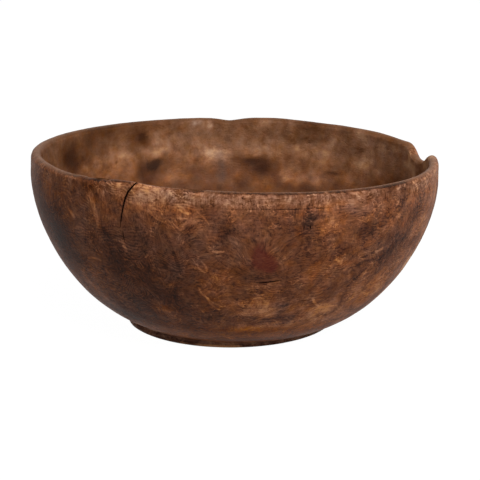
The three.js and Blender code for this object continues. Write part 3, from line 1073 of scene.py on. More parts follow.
def copy_of(piece, name):
    twin = piece.copy()
    twin.data = piece.data.copy()
    twin.name = name
    twin.data.name = name
    bpy.context.collection.objects.link(twin)
    return twin


def joined(pieces):
    make_active(pieces[0])
    for piece in pieces:
        piece.select_set(True)
    bpy.ops.object.join()
    return pieces[0]


def points_of(mesh):
    flat = np.empty(len(mesh.vertices) * 3, np.float32)
    mesh.vertices.foreach_get("co", flat)
    return flat.reshape(-1, 3).astype(float)


def set_points(mesh, points):
    mesh.vertices.foreach_set("co", points.astype(np.float32).ravel())
    mesh.update()


def bearings_of(points):
    return np.degrees(np.arctan2(points[:, 0], -points[:, 1]))


def bearing_gap(bearing, other):
    """Signed difference of two bearings, from -180 to 180."""
    return (bearing - other + 180.0) % 360.0 - 180.0


def lean_matrix(shape):
    centre = Vector((0.0, 0.0, shape.belly_height))
    turn = Matrix.Rotation(shape.lean, 4, "Y")
    return Matrix.Translation(centre) @ turn @ Matrix.Translation(-centre)


def spun_shell(shape):
    """The bowl as it came off the lathe: the half section spun about the axis."""
    section = half_section(shape)
    line = [(radius, 0.0, height) for radius, height in section]
    shell = start_point("burl_bowl", line[0])
    draw_line(line)
    bpy.ops.object.mode_set(mode="OBJECT")
    apply_modifier(shell, "SCREW", steps=TURN_STEPS, render_steps=TURN_STEPS, use_merge_vertices=True)
    bpy.ops.object.mode_set(mode="EDIT")
    bpy.ops.mesh.select_all(action="SELECT")
    bpy.ops.mesh.remove_doubles(threshold=MERGE_DISTANCE)
    face_outwards()
    return shell


def lip_rise(shape, bearing):
    """How much the lip stands above or below its mean height."""
    rise = shape.rim_saddle * np.cos(2 * np.radians(bearing - CRACK_BEARING))
    for mark in LIP_MARKS:
        rise = rise + mark.rise * fading(bearing_gap(bearing, mark.bearing), mark.spread)
    return rise


def notch_drop(shape, bearing):
    """How far the broken notch falls below the lip."""
    gap = np.radians(bearing_gap(bearing, shape.notch_bearing))
    run = rim_radius(shape) * np.sin(np.clip(gap, -math.pi / 2, math.pi / 2))
    near, far, depth = -shape.notch_near_run, shape.notch_far_run, shape.notch_depth
    fall = bezier((near, 0), (near * NOTCH_FALL[0], 0), (near * NOTCH_FALL[1], depth), (0, depth))
    climb = bezier((0, depth), (far * NOTCH_CLIMB[0], depth), (far * NOTCH_CLIMB[1], 0), (far, 0))
    line = np.vstack([fall, climb[1:]])
    return np.interp(run, line[:, 0], line[:, 1], left=0.0, right=0.0)


def crest_height(shape, bearing):
    """Height of the top of the lip, with its rises and its notch."""
    return lip_base(shape) + shape.lip_thickness / 2 + lip_rise(shape, bearing) - notch_drop(shape, bearing)


def wear_shell(shell, shape):
    """Moves the surface as the wood has moved and worn: the scribed line, the lip, its notch and chips."""
    points = points_of(shell.data)
    bearing = bearings_of(points)
    radius = np.hypot(points[:, 0], points[:, 1])
    height = points[:, 2].copy()
    outer = radius > rim_radius(shape) - shape.lip_thickness / 2
    base = lip_base(shape)
    crest = base + shape.lip_thickness / 2

    least_worn = fading(bearing_gap(bearing, SCRIBE_KEPT_AT), SCRIBE_KEPT_OVER)
    keep = SCRIBE_KEPT_SHARE + (1 - SCRIBE_KEPT_SHARE) * least_worn
    from_scribe = height - shape.belly_height - shape.scribe_rise
    groove = shape.scribe_depth * keep * fading(from_scribe, shape.scribe_width / 2) * outer

    beside = np.radians(bearing_gap(bearing, CRACK_STEP_AT)) * shape.belly_radius
    reach = smoothstep(*CRACK_STEP_ZONE, height) * outer
    step = np.where(beside > 0, 0.5 * np.exp(-beside / PROUD_FADE) - 0.5, -np.exp(beside / SUNK_FADE))
    push = shape.crack_step * step * reach

    chip = np.zeros_like(height)
    edge = smoothstep(base + CHIP_RISE, crest, height) * outer
    for bite in CHIPS:
        chip += bite.depth * fading(bearing_gap(bearing, bite.bearing), bite.spread) * edge

    near_lip = smoothstep(shape.belly_height, base, height)
    near_notch = smoothstep(crest - NOTCH_REACH, crest - NOTCH_FULL, height)
    height = height + near_lip * lip_rise(shape, bearing) - near_notch * notch_drop(shape, bearing) - chip
    scale = (radius + push - groove - 0.5 * chip) / np.maximum(radius, MERGE_DISTANCE)
    set_points(shell.data, np.stack([points[:, 0] * scale, points[:, 1] * scale, height], axis=1))


def roughen_shell(shell, shape):
    """Gives the worn surface shallow dips of two sizes."""
    for name, size, share in DIPS:
        texture = bpy.data.textures.new(name, "CLOUDS")
        texture.noise_scale = size
        depth = shape.unevenness * share
        apply_modifier(shell, "DISPLACE", texture=texture, strength=depth, mid_level=1.0)
        bpy.data.textures.remove(texture)


def seat_foot(shell, shape):
    """Leans the bowl and cuts its foot flat on the table."""
    shell.data.transform(lean_matrix(shape))
    make_active(shell)
    bpy.ops.object.mode_set(mode="EDIT")
    bpy.ops.mesh.select_all(action="SELECT")
    bpy.ops.mesh.bisect(plane_co=(0, 0, 0), plane_no=(0, 0, 1), clear_inner=True, threshold=CUT_DISTANCE)
    bpy.ops.mesh.select_mode(type="EDGE")
    bpy.ops.mesh.select_all(action="DESELECT")
    bpy.ops.mesh.select_non_manifold(
        extend=False,
        use_wire=False,
        use_multi_face=False,
        use_non_contiguous=False,
        use_verts=False,
    )
    bpy.ops.mesh.bridge_edge_loops()
    bpy.ops.mesh.select_mode(type="VERT")
    face_outwards()


def wall_directions(bearing):
    """Level directions at a bearing: along the wall to the right, and straight out from the axis."""
    turn = math.radians(bearing)
    across = Vector((math.cos(turn), math.sin(turn), 0.0))
    outward = Vector((math.sin(turn), -math.cos(turn), 0.0))
    return across, outward


def wall_place(shape, bearing, height, inside=False):
    """Where the wall stands at a bearing and height: its frame there, with the wall's outward side as Z."""
    wall = inner_wall(shape) if inside else outer_line(shape)
    radius = np.interp(height, wall[:, 1], wall[:, 0])
    ahead = np.interp(height + SLOPE_STEP, wall[:, 1], wall[:, 0])
    across, outward = wall_directions(bearing)
    up = (outward * (ahead - radius) + Vector((0.0, 0.0, SLOPE_STEP))).normalized()
    facing = across.cross(up)
    if inside:
        across, facing = -across, -facing
    place = Matrix((across, up, facing)).transposed().to_4x4()
    place.translation = outward * radius + Vector((0.0, 0.0, height))
    return lean_matrix(shape) @ place


def prism(name, outline, depths, tip_share=1.0):
    """An outline in the XY plane, extruded up through the depths to its tip."""
    flat = [(x, y, depths[0]) for x, y in outline]
    piece = start_point(name, flat[0])
    draw_line(flat)
    bpy.ops.mesh.select_all(action="SELECT")
    bpy.ops.mesh.edge_face_add()
    for step in np.diff(depths):
        bpy.ops.mesh.extrude_region_move(TRANSFORM_OT_translate={"value": (0, 0, step)})
    bpy.ops.transform.resize(value=(tip_share, tip_share, 1.0), center_override=(0, 0, depths[-1]))
    face_outwards()
    return piece


def crack_cutter(shape):
    """The open crack: a ragged slit from the lip down into the wall, right through its thickness."""
    crest = float(crest_height(shape, CRACK_BEARING))
    course = np.array([(across, -down) for across, down, _ in CRACK_COURSE])
    widths = np.array([width for _, _, width in CRACK_COURSE])
    along = np.gradient(course, axis=0)
    side = np.stack([-along[:, 1], along[:, 0]], axis=1)
    side *= (widths / 2 / np.linalg.norm(side, axis=1))[:, None]
    outline = np.vstack([course + side, (course - side)[::-1]])
    inner = -shape.lip_thickness - OVERSHOOT
    depths = (inner, -shape.lip_thickness, -CRACK_SKIN, OVERSHOOT)
    cutter = prism("crack_cutter", outline, depths)
    across, outward = wall_directions(CRACK_BEARING)
    place = Matrix((across, Vector((0.0, 0.0, 1.0)), outward)).transposed().to_4x4()
    place.translation = outward * rim_radius(shape) + Vector((0.0, 0.0, crest))
    cutter.data.transform(lean_matrix(shape) @ place)
    return cutter


def check_cutter(shape, check):
    """A fine check: a bowed, pointed slit."""
    t = np.linspace(-1.0, 1.0, CHECK_STEPS)
    middle = np.stack([t * check.half_length, check.bow * (1 - t * t)], axis=1)
    half = np.stack([np.zeros_like(t), check.width / 2 * (1 - t * t)], axis=1)
    outline = np.vstack([middle + half, (middle - half)[-2:0:-1]])
    cutter = prism("check_cutter", outline, CHECK_DEPTHS)
    turn = Matrix.Rotation(math.radians(check.turn), 4, "Z")
    cutter.data.transform(wall_place(shape, check.bearing, check.height) @ turn)
    return cutter


def knot_plug(name, shape, knot, gap):
    """A tapered plug with an uneven oval outline, grown by a gap all round."""
    t = np.linspace(0.0, 2 * math.pi, KNOT_SIDES, endpoint=False)
    uneven = np.ones(KNOT_SIDES)
    for waves, start in KNOT_WAVES:
        uneven -= KNOT_WAVE_DEPTH * (1 + np.sin(waves * t + start)) / 2
    across = (knot.half_across * uneven + gap) * np.cos(t)
    up = (knot.half_up * uneven + gap) * np.sin(t)
    plug = prism(name, np.stack([across, up], axis=1), (OVERSHOOT / 2, -knot.depth - gap), KNOT_TIP_SHARE)
    plug.data.transform(wall_place(shape, knot.bearing, knot.height, knot.inside))
    return plug


def turned_places(mesh, shape):
    """Where the vertices of a mesh lie on the bowl as turned, before it leaned on its foot."""
    standing = points_of(mesh)
    upright = np.array(lean_matrix(shape).inverted())
    points = standing @ upright[:3, :3].T + upright[:3, 3]
    radius = np.hypot(points[:, 0], points[:, 1])
    height = points[:, 2]
    outer = outer_wall(shape)
    inner = inner_wall(shape)
    middle = (np.interp(height, outer[:, 1], outer[:, 0]) + np.interp(height, inner[:, 1], inner[:, 0])) / 2
    inside = (radius < middle) & (height > shape.floor_height / 2)
    return Places(bearings_of(points), height, radius, inside, standing[:, 2])


def unseen_marks(generator, count, bearings, heights):
    """More patches of the same kind, for the sides that are turned away."""
    return [
        Mark(
            bearing=generator.uniform(*bearings),
            height=generator.uniform(*heights),
            across=generator.uniform(*UNSEEN_ACROSS),
            up=generator.uniform(*UNSEEN_UP),
            turn=generator.uniform(*UNSEEN_TURN),
            tone=generator.uniform(*UNSEEN_TONE),
            warmth=generator.uniform(*UNSEEN_WARMTH),
        )
        for _ in range(count)
    ]


def wandering(points):
    """How far the edges of the figure wander across and up at each point."""
    seed_set(WANDER_SEED)
    wide = [turbulence_vector(Vector(point) * WANDER_SCALE, 2, False) for point in points]
    return np.array(wide) * WANDER_REACH


def mark_fields(marks, bearing, along, radius, wall):
    """Tone and warmth that the marks give each place on one side of the wall."""
    tone = np.zeros_like(bearing)
    warmth = np.zeros_like(bearing)
    wall_lengths = lengths_along(wall)
    for mark in marks:
        centre = np.interp(mark.height, wall[:, 1], wall_lengths)
        across = np.radians(bearing_gap(bearing, mark.bearing)) * radius
        up = along - centre
        cos, sin = math.cos(math.radians(mark.turn)), math.sin(math.radians(mark.turn))
        first = (across * cos + up * sin) / mark.across
        second = (up * cos - across * sin) / mark.up
        weight = np.exp(-((first**2 + second**2) ** MARK_SHARPNESS))
        tone += mark.tone * weight
        warmth += mark.warmth * weight
    return tone, warmth


def burl_eyes(generator):
    """The knots and many small eyes, round which the grain flows. Their tone is how far they lift it."""
    eyes = list(KNOT_EYES)
    for _ in range(EYE_COUNT):
        size = generator.uniform(*EYE_SIZES)
        lift = size * generator.choice([-EYE_LIFT, EYE_LIFT])
        bearing = generator.uniform(-180, 180)
        height = generator.uniform(*EYE_HEIGHTS)
        eyes.append(Mark(bearing, height, size, size, lift))
    return eyes


def outer_line(shape):
    """Half section of the outside with its collar, up to the top of the lip."""
    top = lip_base(shape) + shape.lip_thickness
    return np.vstack([outer_wall(shape), [[rim_radius(shape), lip_base(shape)], [rim_radius(shape), top]]])


def cut_faces(shape, bearing, height, radius):
    """Which places lie deep inside the wood of the wall: only the sides of cracks and pockets do."""
    outer = outer_line(shape)
    inner = inner_wall(shape)
    from_outside = np.interp(height, outer[:, 1], outer[:, 0]) - radius
    from_inside = radius - np.interp(height, inner[:, 1], inner[:, 0])
    lifted = height - lip_base(shape) - lip_rise(shape, bearing) + notch_drop(shape, bearing)
    lip_middle = rim_radius(shape) - shape.lip_thickness / 2
    from_lip = shape.lip_thickness / 2 - np.hypot(radius - lip_middle, lifted)
    near_crack = np.abs(bearing_gap(bearing, CRACK_BEARING)) < CRACK_REACH
    depth = np.where(lifted > 0, np.where(near_crack, from_lip, 0.0), np.minimum(from_outside, from_inside))
    return smoothstep(*CUT_ZONE, depth) * (height > LOWEST_CUT)


def lip_line_strength(bearing):
    """How dark the dark line painted along the lip's outer edge is: in dashes, with gaps."""
    dashes = np.full_like(bearing, DARK_LINE_SWING)
    for pace, start in DARK_LINE_WAVES:
        dashes = dashes * np.sin(bearing * pace + start)
    line_gaps = sum(fading(bearing - middle, spread) for middle, spread in DARK_LINE_GAPS)
    in_front = smoothstep(*DARK_LINE_ENDS, np.abs(bearing))
    return np.clip(DARK_LINE_MEAN + dashes, 0.0, 1.0) * np.clip(1 - line_gaps, 0.0, 1.0) * in_front


def broken_wood(shape, bearing, below_crest):
    """Where raw wood shows on the steep far side of the notch."""
    drop = notch_drop(shape, bearing) / shape.notch_depth
    far_side = smoothstep(0.0, 2.0, bearing_gap(bearing, shape.notch_bearing))
    steep = smoothstep(*BROKEN_FROM, drop) * smoothstep(*BROKEN_TO, drop)
    return far_side * steep * smoothstep(*BROKEN_ZONE, below_crest)


def bare_lit_foot(shape, places):
    """How bare the foot is worn along its lower outer edge, just above the table, with the painted light that
    it takes there.
    """
    share = np.interp(places.bearing, *np.transpose(BARE_LIT_FOOT))
    at_edge = smoothstep(*BARE_LIT_FADE, shape.foot_radius - places.radius)
    return share * at_edge * fading(places.over_table - BARE_LIT_RISE, BARE_LIT_WIDTH) * ~places.inside


def wear_and_light_at(shape, places):
    """How strongly each kind of wear, painted light and painted shade shows at each vertex of a piece."""
    bearing, height = places.bearing, places.height
    below_crest = crest_height(shape, bearing) - height
    broken = broken_wood(shape, bearing, below_crest)
    bearings, shares, widths = np.transpose(RUBBED_AND_LIT_LIP)
    rubbed_and_lit_share = np.interp(bearing, bearings, shares)
    rubbed_and_lit_width = np.interp(bearing, bearings, widths)
    lip = smoothstep(*LIP_ZONE, below_crest) * (1 - fading(bearing - PALE_LIP_AT, PALE_LIP_OVER))
    top = smoothstep(*LIP_TOP_ZONE, below_crest) * np.clip(rubbed_and_lit_share / FULLY_RUBBED_AND_LIT, 0.0, 1.0)
    foot = smoothstep(*FOOT_ZONE, height)
    return WearAndLight(
        broken=broken,
        rubbed_and_lit=rubbed_and_lit_share * fading(below_crest, rubbed_and_lit_width) * (1 - broken),
        bare_and_lit=bare_lit_foot(shape, places),
        collar=smoothstep(*COLLAR_ZONE, height) * (1 - 0.5 * smoothstep(*COLLAR_FADE, bearing)),
        lip=lip,
        lip_top=lip * top,
        dark_line=fading(below_crest - DARK_LINE_DROP, DARK_LINE_WIDTH) * lip_line_strength(bearing),
        foot=foot,
        low_wall=smoothstep(*LOW_WALL_ZONE, height) * (1 - foot),
    )


def paint_places(piece, shape):
    """Writes on each vertex of a piece what the wood's material reads: figure, grain, wear, painted light and
    shade, and stains.
    """
    mesh = piece.data
    places = turned_places(mesh, shape)
    bearing, height, radius, inside, _ = places
    wear_and_light = wear_and_light_at(shape, places)
    outer = outer_line(shape)
    inner = inner_wall(shape)
    outer_along = np.interp(height, outer[:, 1], lengths_along(outer))
    inner_along = np.interp(height, inner[:, 1], lengths_along(inner))
    generator = np.random.default_rng(SEED)
    outside_marks = [*OUTSIDE_MARKS, *unseen_marks(generator, *UNSEEN_OUTSIDE)]
    inside_marks = [*INSIDE_MARKS, *unseen_marks(generator, *UNSEEN_NEAR_INSIDE)]
    inside_marks += unseen_marks(generator, *UNSEEN_LOW_INSIDE)
    eyes = burl_eyes(generator)
    across, up = wandering(points_of(mesh))[:, :2].T
    drift = bearing + np.degrees(across / np.maximum(radius, shape.lip_thickness))

    outside_tone, outside_warmth = mark_fields(outside_marks, drift, outer_along + up, radius, outer)
    # Outside: the collar's wear, painted shade on the lip's top, the painted dark line, raw wood in the
    # notch, and painted light on the foot
    outside_tone += COLLAR_TONE * wear_and_light.collar + LIP_TOP_TONE * wear_and_light.lip_top + DARK_LINE_TONE * wear_and_light.dark_line
    outside_tone += BROKEN_TONE * wear_and_light.broken + FOOT_TONE * wear_and_light.foot
    # Painted warmth on the low wall against the floor's reflection, and the foot greyed against the bounce in
    # its cove
    outside_warmth += LOW_WALL_WARMTH * wear_and_light.low_wall + FOOT_WARMTH * wear_and_light.foot
    inside_tone, inside_warmth = mark_fields(inside_marks, drift, inner_along + up, radius, inner)
    # Inside: painted shade on the lip's inside and deep in the bowl, and raw wood in the notch
    inside_tone = INSIDE_TONE + INSIDE_CONTRAST * inside_tone + INNER_LIP_TONE * wear_and_light.lip
    inside_tone += BROKEN_TONE * wear_and_light.broken
    inside_tone += DEEP_INSIDE_TONE * smoothstep(*DEEP_INSIDE_ZONE, height)
    # The sides of the cracks and pockets are painted dark as shade
    cut = cut_faces(shape, bearing, height, radius)
    outer_lift = mark_fields(eyes, bearing, outer_along, radius, outer)[0]
    inner_lift = mark_fields(eyes, bearing, inner_along, radius, inner)[0]
    warmth = np.where(inside, inside_warmth + INSIDE_WARMTH, outside_warmth)
    inside_fine = INSIDE_FINE + (1 - INSIDE_FINE) * wear_and_light.broken
    fields = {
        "flow": height + np.where(inside, inner_lift, outer_lift),
        "figure_and_light_tone": np.where(inside, inside_tone, outside_tone) + CUT_TONE * cut,
        "figure_and_light_warmth": warmth + BROKEN_WARMTH * wear_and_light.broken,
        "aged": np.where(inside, smoothstep(*AGED_INSIDE_ZONE, height), wear_and_light.collar),
        "fine": np.where(inside, inside_fine, 1.0 + COLLAR_FINE * wear_and_light.collar),
        "rubbed_and_lit": wear_and_light.rubbed_and_lit,
        "foot_edge": wear_and_light.bare_and_lit,
        "knot_red": mark_fields(RED_STAINS, bearing, outer_along, radius, outer)[0] * ~inside,
        "knot_black": mark_fields(BLACK_STAINS, bearing, inner_along, radius, inner)[0] * inside,
    }
    for name, values in fields.items():
        layer = mesh.attributes.new(name, "FLOAT", "POINT")
        layer.data.foreach_set("value", values.astype(np.float32))
    hidden = inside | (np.abs(bearing) > STROKE_LIMIT)
    wrap = np.stack([np.radians(bearing), np.where(hidden, FAR_AWAY, outer_along), radius], axis=1)
    layer = mesh.attributes.new("wall_place", "FLOAT_VECTOR", "POINT")
    layer.data.foreach_set("vector", wrap.astype(np.float32).ravel())


def wire(tree, kind, settings=None, inputs=None):
    """Adds a node, with its settings, and links or sets its inputs."""
    node = tree.nodes.new("ShaderNode" + kind)
    for name, value in (settings or {}).items():
        setattr(node, name, value)
    for name, value in (inputs or {}).items():
        if isinstance(value, bpy.types.NodeSocket):
            tree.links.new(value, node.inputs[name])
        else:
            node.inputs[name].default_value = value
    return node


def maths(tree, operation, *values):
    settings = {"operation": operation}
    return wire(tree, "Math", settings, dict(enumerate(values))).outputs[0]


def times(tree, first, second):
    return maths(tree, "MULTIPLY", first, second)


def plus(tree, first, second):
    return maths(tree, "ADD", first, second)


def minus(tree, first, second):
    return maths(tree, "SUBTRACT", first, second)


def added(tree, total, *shares):
    """A total to which masks are added, each by its weight."""
    for mask, weight in shares:
        total = maths(tree, "MULTIPLY_ADD", mask, weight, total)
    return total


def ranged(tree, value, low, high, to_low=0.0, to_high=1.0):
    """A value mapped smoothly from one range to another, and held at its ends."""
    inputs = {"Value": value, "From Min": low, "From Max": high, "To Min": to_low, "To Max": to_high}
    return wire(tree, "MapRange", {"interpolation_type": "SMOOTHSTEP"}, inputs).outputs[0]


def faded(tree, distance, gone, full):
    """A mask that is full near by and gone at a distance."""
    return ranged(tree, distance, full, gone, 1.0, 0.0)


def mixed(tree, factor, first, second):
    settings = {"data_type": "RGBA"}
    return wire(tree, "Mix", settings, {0: factor, 6: first, 7: second}).outputs[2]


def between(tree, share, first, second):
    """A value between two others."""
    return wire(tree, "Mix", {"data_type": "FLOAT"}, {0: share, 2: first, 3: second}).outputs[0]


def parts_of(tree, vector):
    return wire(tree, "SeparateXYZ", None, {0: vector}).outputs


def along_flow(tree, place, flow):
    """A place with the grain's flow as its height, so that a pattern on it follows the grain."""
    return wire(tree, "CombineXYZ", None, {"X": place["X"], "Y": place["Y"], "Z": flow}).outputs[0]


def attribute(tree, name, output="Fac"):
    return wire(tree, "Attribute", {"attribute_name": name}).outputs[output]


def noise(tree, vector, scale, detail=2.0, rough=0.5):
    inputs = {"Vector": vector, "Scale": scale, "Detail": detail, "Roughness": rough}
    return wire(tree, "TexNoise", None, inputs).outputs["Fac"]


def squeezed(tree, vector, shares):
    return wire(tree, "VectorMath", {"operation": "MULTIPLY"}, {0: vector, 1: shares}).outputs[0]


def new_group(name, inputs, outputs):
    """A shader node group with named sockets, and its inner input and output nodes."""
    tree = bpy.data.node_groups.new(name, "ShaderNodeTree")
    for socket, kind, default in inputs:
        made = tree.interface.new_socket(socket, in_out="INPUT", socket_type="NodeSocket" + kind)
        if default is not None:
            made.default_value = default
    for socket in outputs:
        tree.interface.new_socket(socket, in_out="OUTPUT", socket_type="NodeSocketFloat")
    start = tree.nodes.new("NodeGroupInput")
    end = tree.nodes.new("NodeGroupOutput")
    return tree, start.outputs, end.inputs


def mottle_group():
    """Clouds of burl figure, warped so that they curl."""
    tree, given, result = new_group(
        "burl_mottle",
        [("Vector", "Vector", None), ("Scale", "Float", MOTTLE_SCALE), ("Sharpness", "Float", 1.0)],
        ["Mottle", "Speckle"],
    )
    inputs = {"Vector": given["Vector"], "Scale": MOTTLE_CURL_SCALE, "Detail": 1.0}
    bend = wire(tree, "TexNoise", None, inputs).outputs["Color"]
    shift = wire(tree, "VectorMath", {"operation": "SCALE"}, {0: bend, "Scale": MOTTLE_CURL})
    ends = {0: given["Vector"], 1: shift.outputs[0]}
    curled = wire(tree, "VectorMath", {"operation": "ADD"}, ends).outputs[0]
    clouds = noise(tree, curled, given["Scale"], detail=4.0, rough=0.7)
    lying = squeezed(tree, given["Vector"], SOFT_SQUEEZE)
    soft = noise(tree, lying, times(tree, given["Scale"], SOFT_RATIO), detail=3.0, rough=0.6)
    soft = maths(tree, "MULTIPLY_ADD", soft, SOFT_CONTRAST, (1 - SOFT_CONTRAST) / 2)
    either = between(tree, given["Sharpness"], soft, clouds)
    tree.links.new(minus(tree, either, 0.5), result["Mottle"])
    specks = noise(tree, curled, times(tree, given["Scale"], SPECKLE_RATIO), detail=2.0, rough=0.8)
    tree.links.new(minus(tree, specks, 0.5), result["Speckle"])
    return tree


def grain_group():
    """Fine fibres, lying or upright, and curled contour lines of the growth layers."""
    tree, given, result = new_group(
        "curled_grain",
        [("Vector", "Vector", None), ("Flow", "Float", 0.0), ("Spacing", "Float", LINE_SPACING)],
        ["Fibre", "Lines"],
    )
    place = parts_of(tree, given["Vector"])
    along = along_flow(tree, place, given["Flow"])
    lying = squeezed(tree, along, LYING_SQUEEZE)
    lying = noise(tree, lying, LYING_FIBRE_SCALE, detail=3.0, rough=0.75)
    upright = squeezed(tree, given["Vector"], UPRIGHT_SQUEEZE)
    upright = noise(tree, upright, UPRIGHT_FIBRE_SCALE, detail=3.0, rough=0.75)
    rise = ranged(tree, place["Z"], *UPRIGHT_ZONE, *UPRIGHT_SHIFT)
    chance = plus(tree, noise(tree, given["Vector"], FIBRE_PATCH_SCALE, detail=1.0), rise)
    which = ranged(tree, chance, *UPRIGHT_CHANCE)
    tree.links.new(minus(tree, between(tree, which, lying, upright), 0.5), result["Fibre"])
    swirl = times(tree, noise(tree, given["Vector"], LINE_CURL_SCALE), LINE_CURL)
    turns = maths(tree, "DIVIDE", plus(tree, given["Flow"], swirl), given["Spacing"])
    wave = maths(tree, "SINE", times(tree, turns, 2 * math.pi))
    patch = ranged(tree, noise(tree, given["Vector"], LINE_PATCH_SCALE, detail=1.0), *LINE_CHANCE)
    tree.links.new(times(tree, wave, patch), result["Lines"])
    return tree


def fleck_group():
    """Short curly flecks, bright and dark, that follow the grain in patches."""
    tree, given, result = new_group(
        "curly_flecks",
        [("Vector", "Vector", None), ("Flow", "Float", 0.0), ("Scale", "Float", FLECK_SCALE)],
        ["Bright", "Dark"],
    )
    along = along_flow(tree, parts_of(tree, given["Vector"]), given["Flow"])
    short = squeezed(tree, along, FLECK_SQUEEZE)
    inputs = {"Vector": short, "Scale": given["Scale"], "Roughness": 0.6}
    field = wire(tree, "TexNoise", None, inputs)
    layers = parts_of(tree, field.outputs["Color"])
    patches = wire(tree, "TexNoise", None, {"Vector": given["Vector"], "Scale": FLECK_PATCH_SCALE})
    chances = parts_of(tree, patches.outputs["Color"])
    for name, axis in (("Bright", "X"), ("Dark", "Y")):
        from_ridge = maths(tree, "ABSOLUTE", minus(tree, layers[axis], 0.5))
        thread = faded(tree, from_ridge, *FLECK_EDGE)
        kept = ranged(tree, chances[axis], *FLECK_CHANCE)
        tree.links.new(times(tree, thread, kept), result[name])
    return tree


def pore_group():
    """Short dark pores, scattered thinly."""
    tree, given, result = new_group(
        "open_pores", [("Vector", "Vector", None), ("Scale", "Float", PORE_SCALE)], ["Pores"]
    )
    inputs = {"Vector": squeezed(tree, given["Vector"], PORE_SQUEEZE), "Scale": given["Scale"]}
    cells = wire(tree, "TexVoronoi", {"feature": "F1"}, inputs)
    dot = faded(tree, cells.outputs["Distance"], *PORE_EDGE)
    kept = ranged(tree, parts_of(tree, cells.outputs["Color"])["X"], *PORE_CHANCE)
    tree.links.new(times(tree, dot, kept), result["Pores"])
    return tree


def stroke_group():
    """A thin bowed line between two places on the wall, with a broken edge."""
    tree, given, result = new_group(
        "figure_stroke",
        [
            ("Place", "Vector", None),
            ("Ragged", "Float", 0.0),
            ("Bearing", "Float", 0.0),
            ("Along", "Float", 0.0),
            ("Run", "Float", 0.01),
            ("Rise", "Float", 0.0),
            ("Bend", "Float", 0.0),
            ("Width", "Float", 0.001),
        ],
        ["Stroke"],
    )
    place = parts_of(tree, given["Place"])
    run, rise = given["Run"], given["Rise"]
    across = times(tree, minus(tree, place["X"], given["Bearing"]), place["Z"])
    up = minus(tree, place["Y"], given["Along"])
    span = plus(tree, times(tree, run, run), times(tree, rise, rise))
    reach = plus(tree, times(tree, across, run), times(tree, up, rise))
    share = wire(tree, "Math", {"operation": "DIVIDE", "use_clamp": True}, {0: reach, 1: span}).outputs[0]
    hump = times(tree, times(tree, share, minus(tree, 1.0, share)), 4.0)
    bow = maths(tree, "DIVIDE", times(tree, hump, given["Bend"]), maths(tree, "SQRT", span))
    aside = plus(tree, minus(tree, across, times(tree, share, run)), times(tree, bow, rise))
    above = minus(tree, minus(tree, up, times(tree, share, rise)), times(tree, bow, run))
    away = maths(tree, "SQRT", plus(tree, times(tree, aside, aside), times(tree, above, above)))
    ratio = plus(tree, maths(tree, "DIVIDE", away, given["Width"]), given["Ragged"])
    tree.links.new(faded(tree, ratio, *STROKE_EDGE), result["Stroke"])
    return tree


def placed_group(tree, name, maker, inputs):
    """A node group, built the first time that it is needed, placed with its own values."""
    group = bpy.data.node_groups.get(name) or maker()
    return wire(tree, "Group", {"node_tree": group}, inputs).outputs


def stroke_sum(tree, shape, ragged):
    """The tones of all the strokes, added up."""
    outer = outer_line(shape)
    lengths = lengths_along(outer)
    place = attribute(tree, "wall_place", "Vector")
    total = 0.0
    for stroke in STROKES:
        along, end_along = np.interp([stroke.height, stroke.end_height], outer[:, 1], lengths)
        radius = np.interp((stroke.height + stroke.end_height) / 2, outer[:, 1], outer[:, 0])
        run = math.radians(stroke.end_bearing - stroke.bearing) * radius
        inputs = {
            "Place": place,
            "Ragged": ragged,
            "Bearing": math.radians(stroke.bearing),
            "Along": float(along),
            "Run": float(run),
            "Rise": float(end_along - along),
            "Bend": stroke.bend,
            "Width": stroke.width,
        }
        mask = placed_group(tree, "figure_stroke", stroke_group, inputs)["Stroke"]
        total = added(tree, total, (mask, stroke.tone))
    return total


def new_material(name):
    material = bpy.data.materials.new(name)
    material.use_nodes = True
    tree = material.node_tree
    tree.nodes.clear()
    return material, tree


def wood_colours(tree, tone, wood):
    """The burl's colours, from its darkest streaks to its palest flecks."""
    ramp = wire(tree, "ValToRGB", None, {"Fac": tone})
    shades = (wood.deepest, wood.dark, wood.brown, wood.tan, wood.orange)
    colours = ramp.color_ramp.elements
    while len(colours) < len(shades):
        colours.new(0.5)
    for element, position, shade in zip(colours, TONE_STOPS, shades):
        element.position = position
        element.color = (*shade, 1.0)
    return ramp.outputs["Color"]


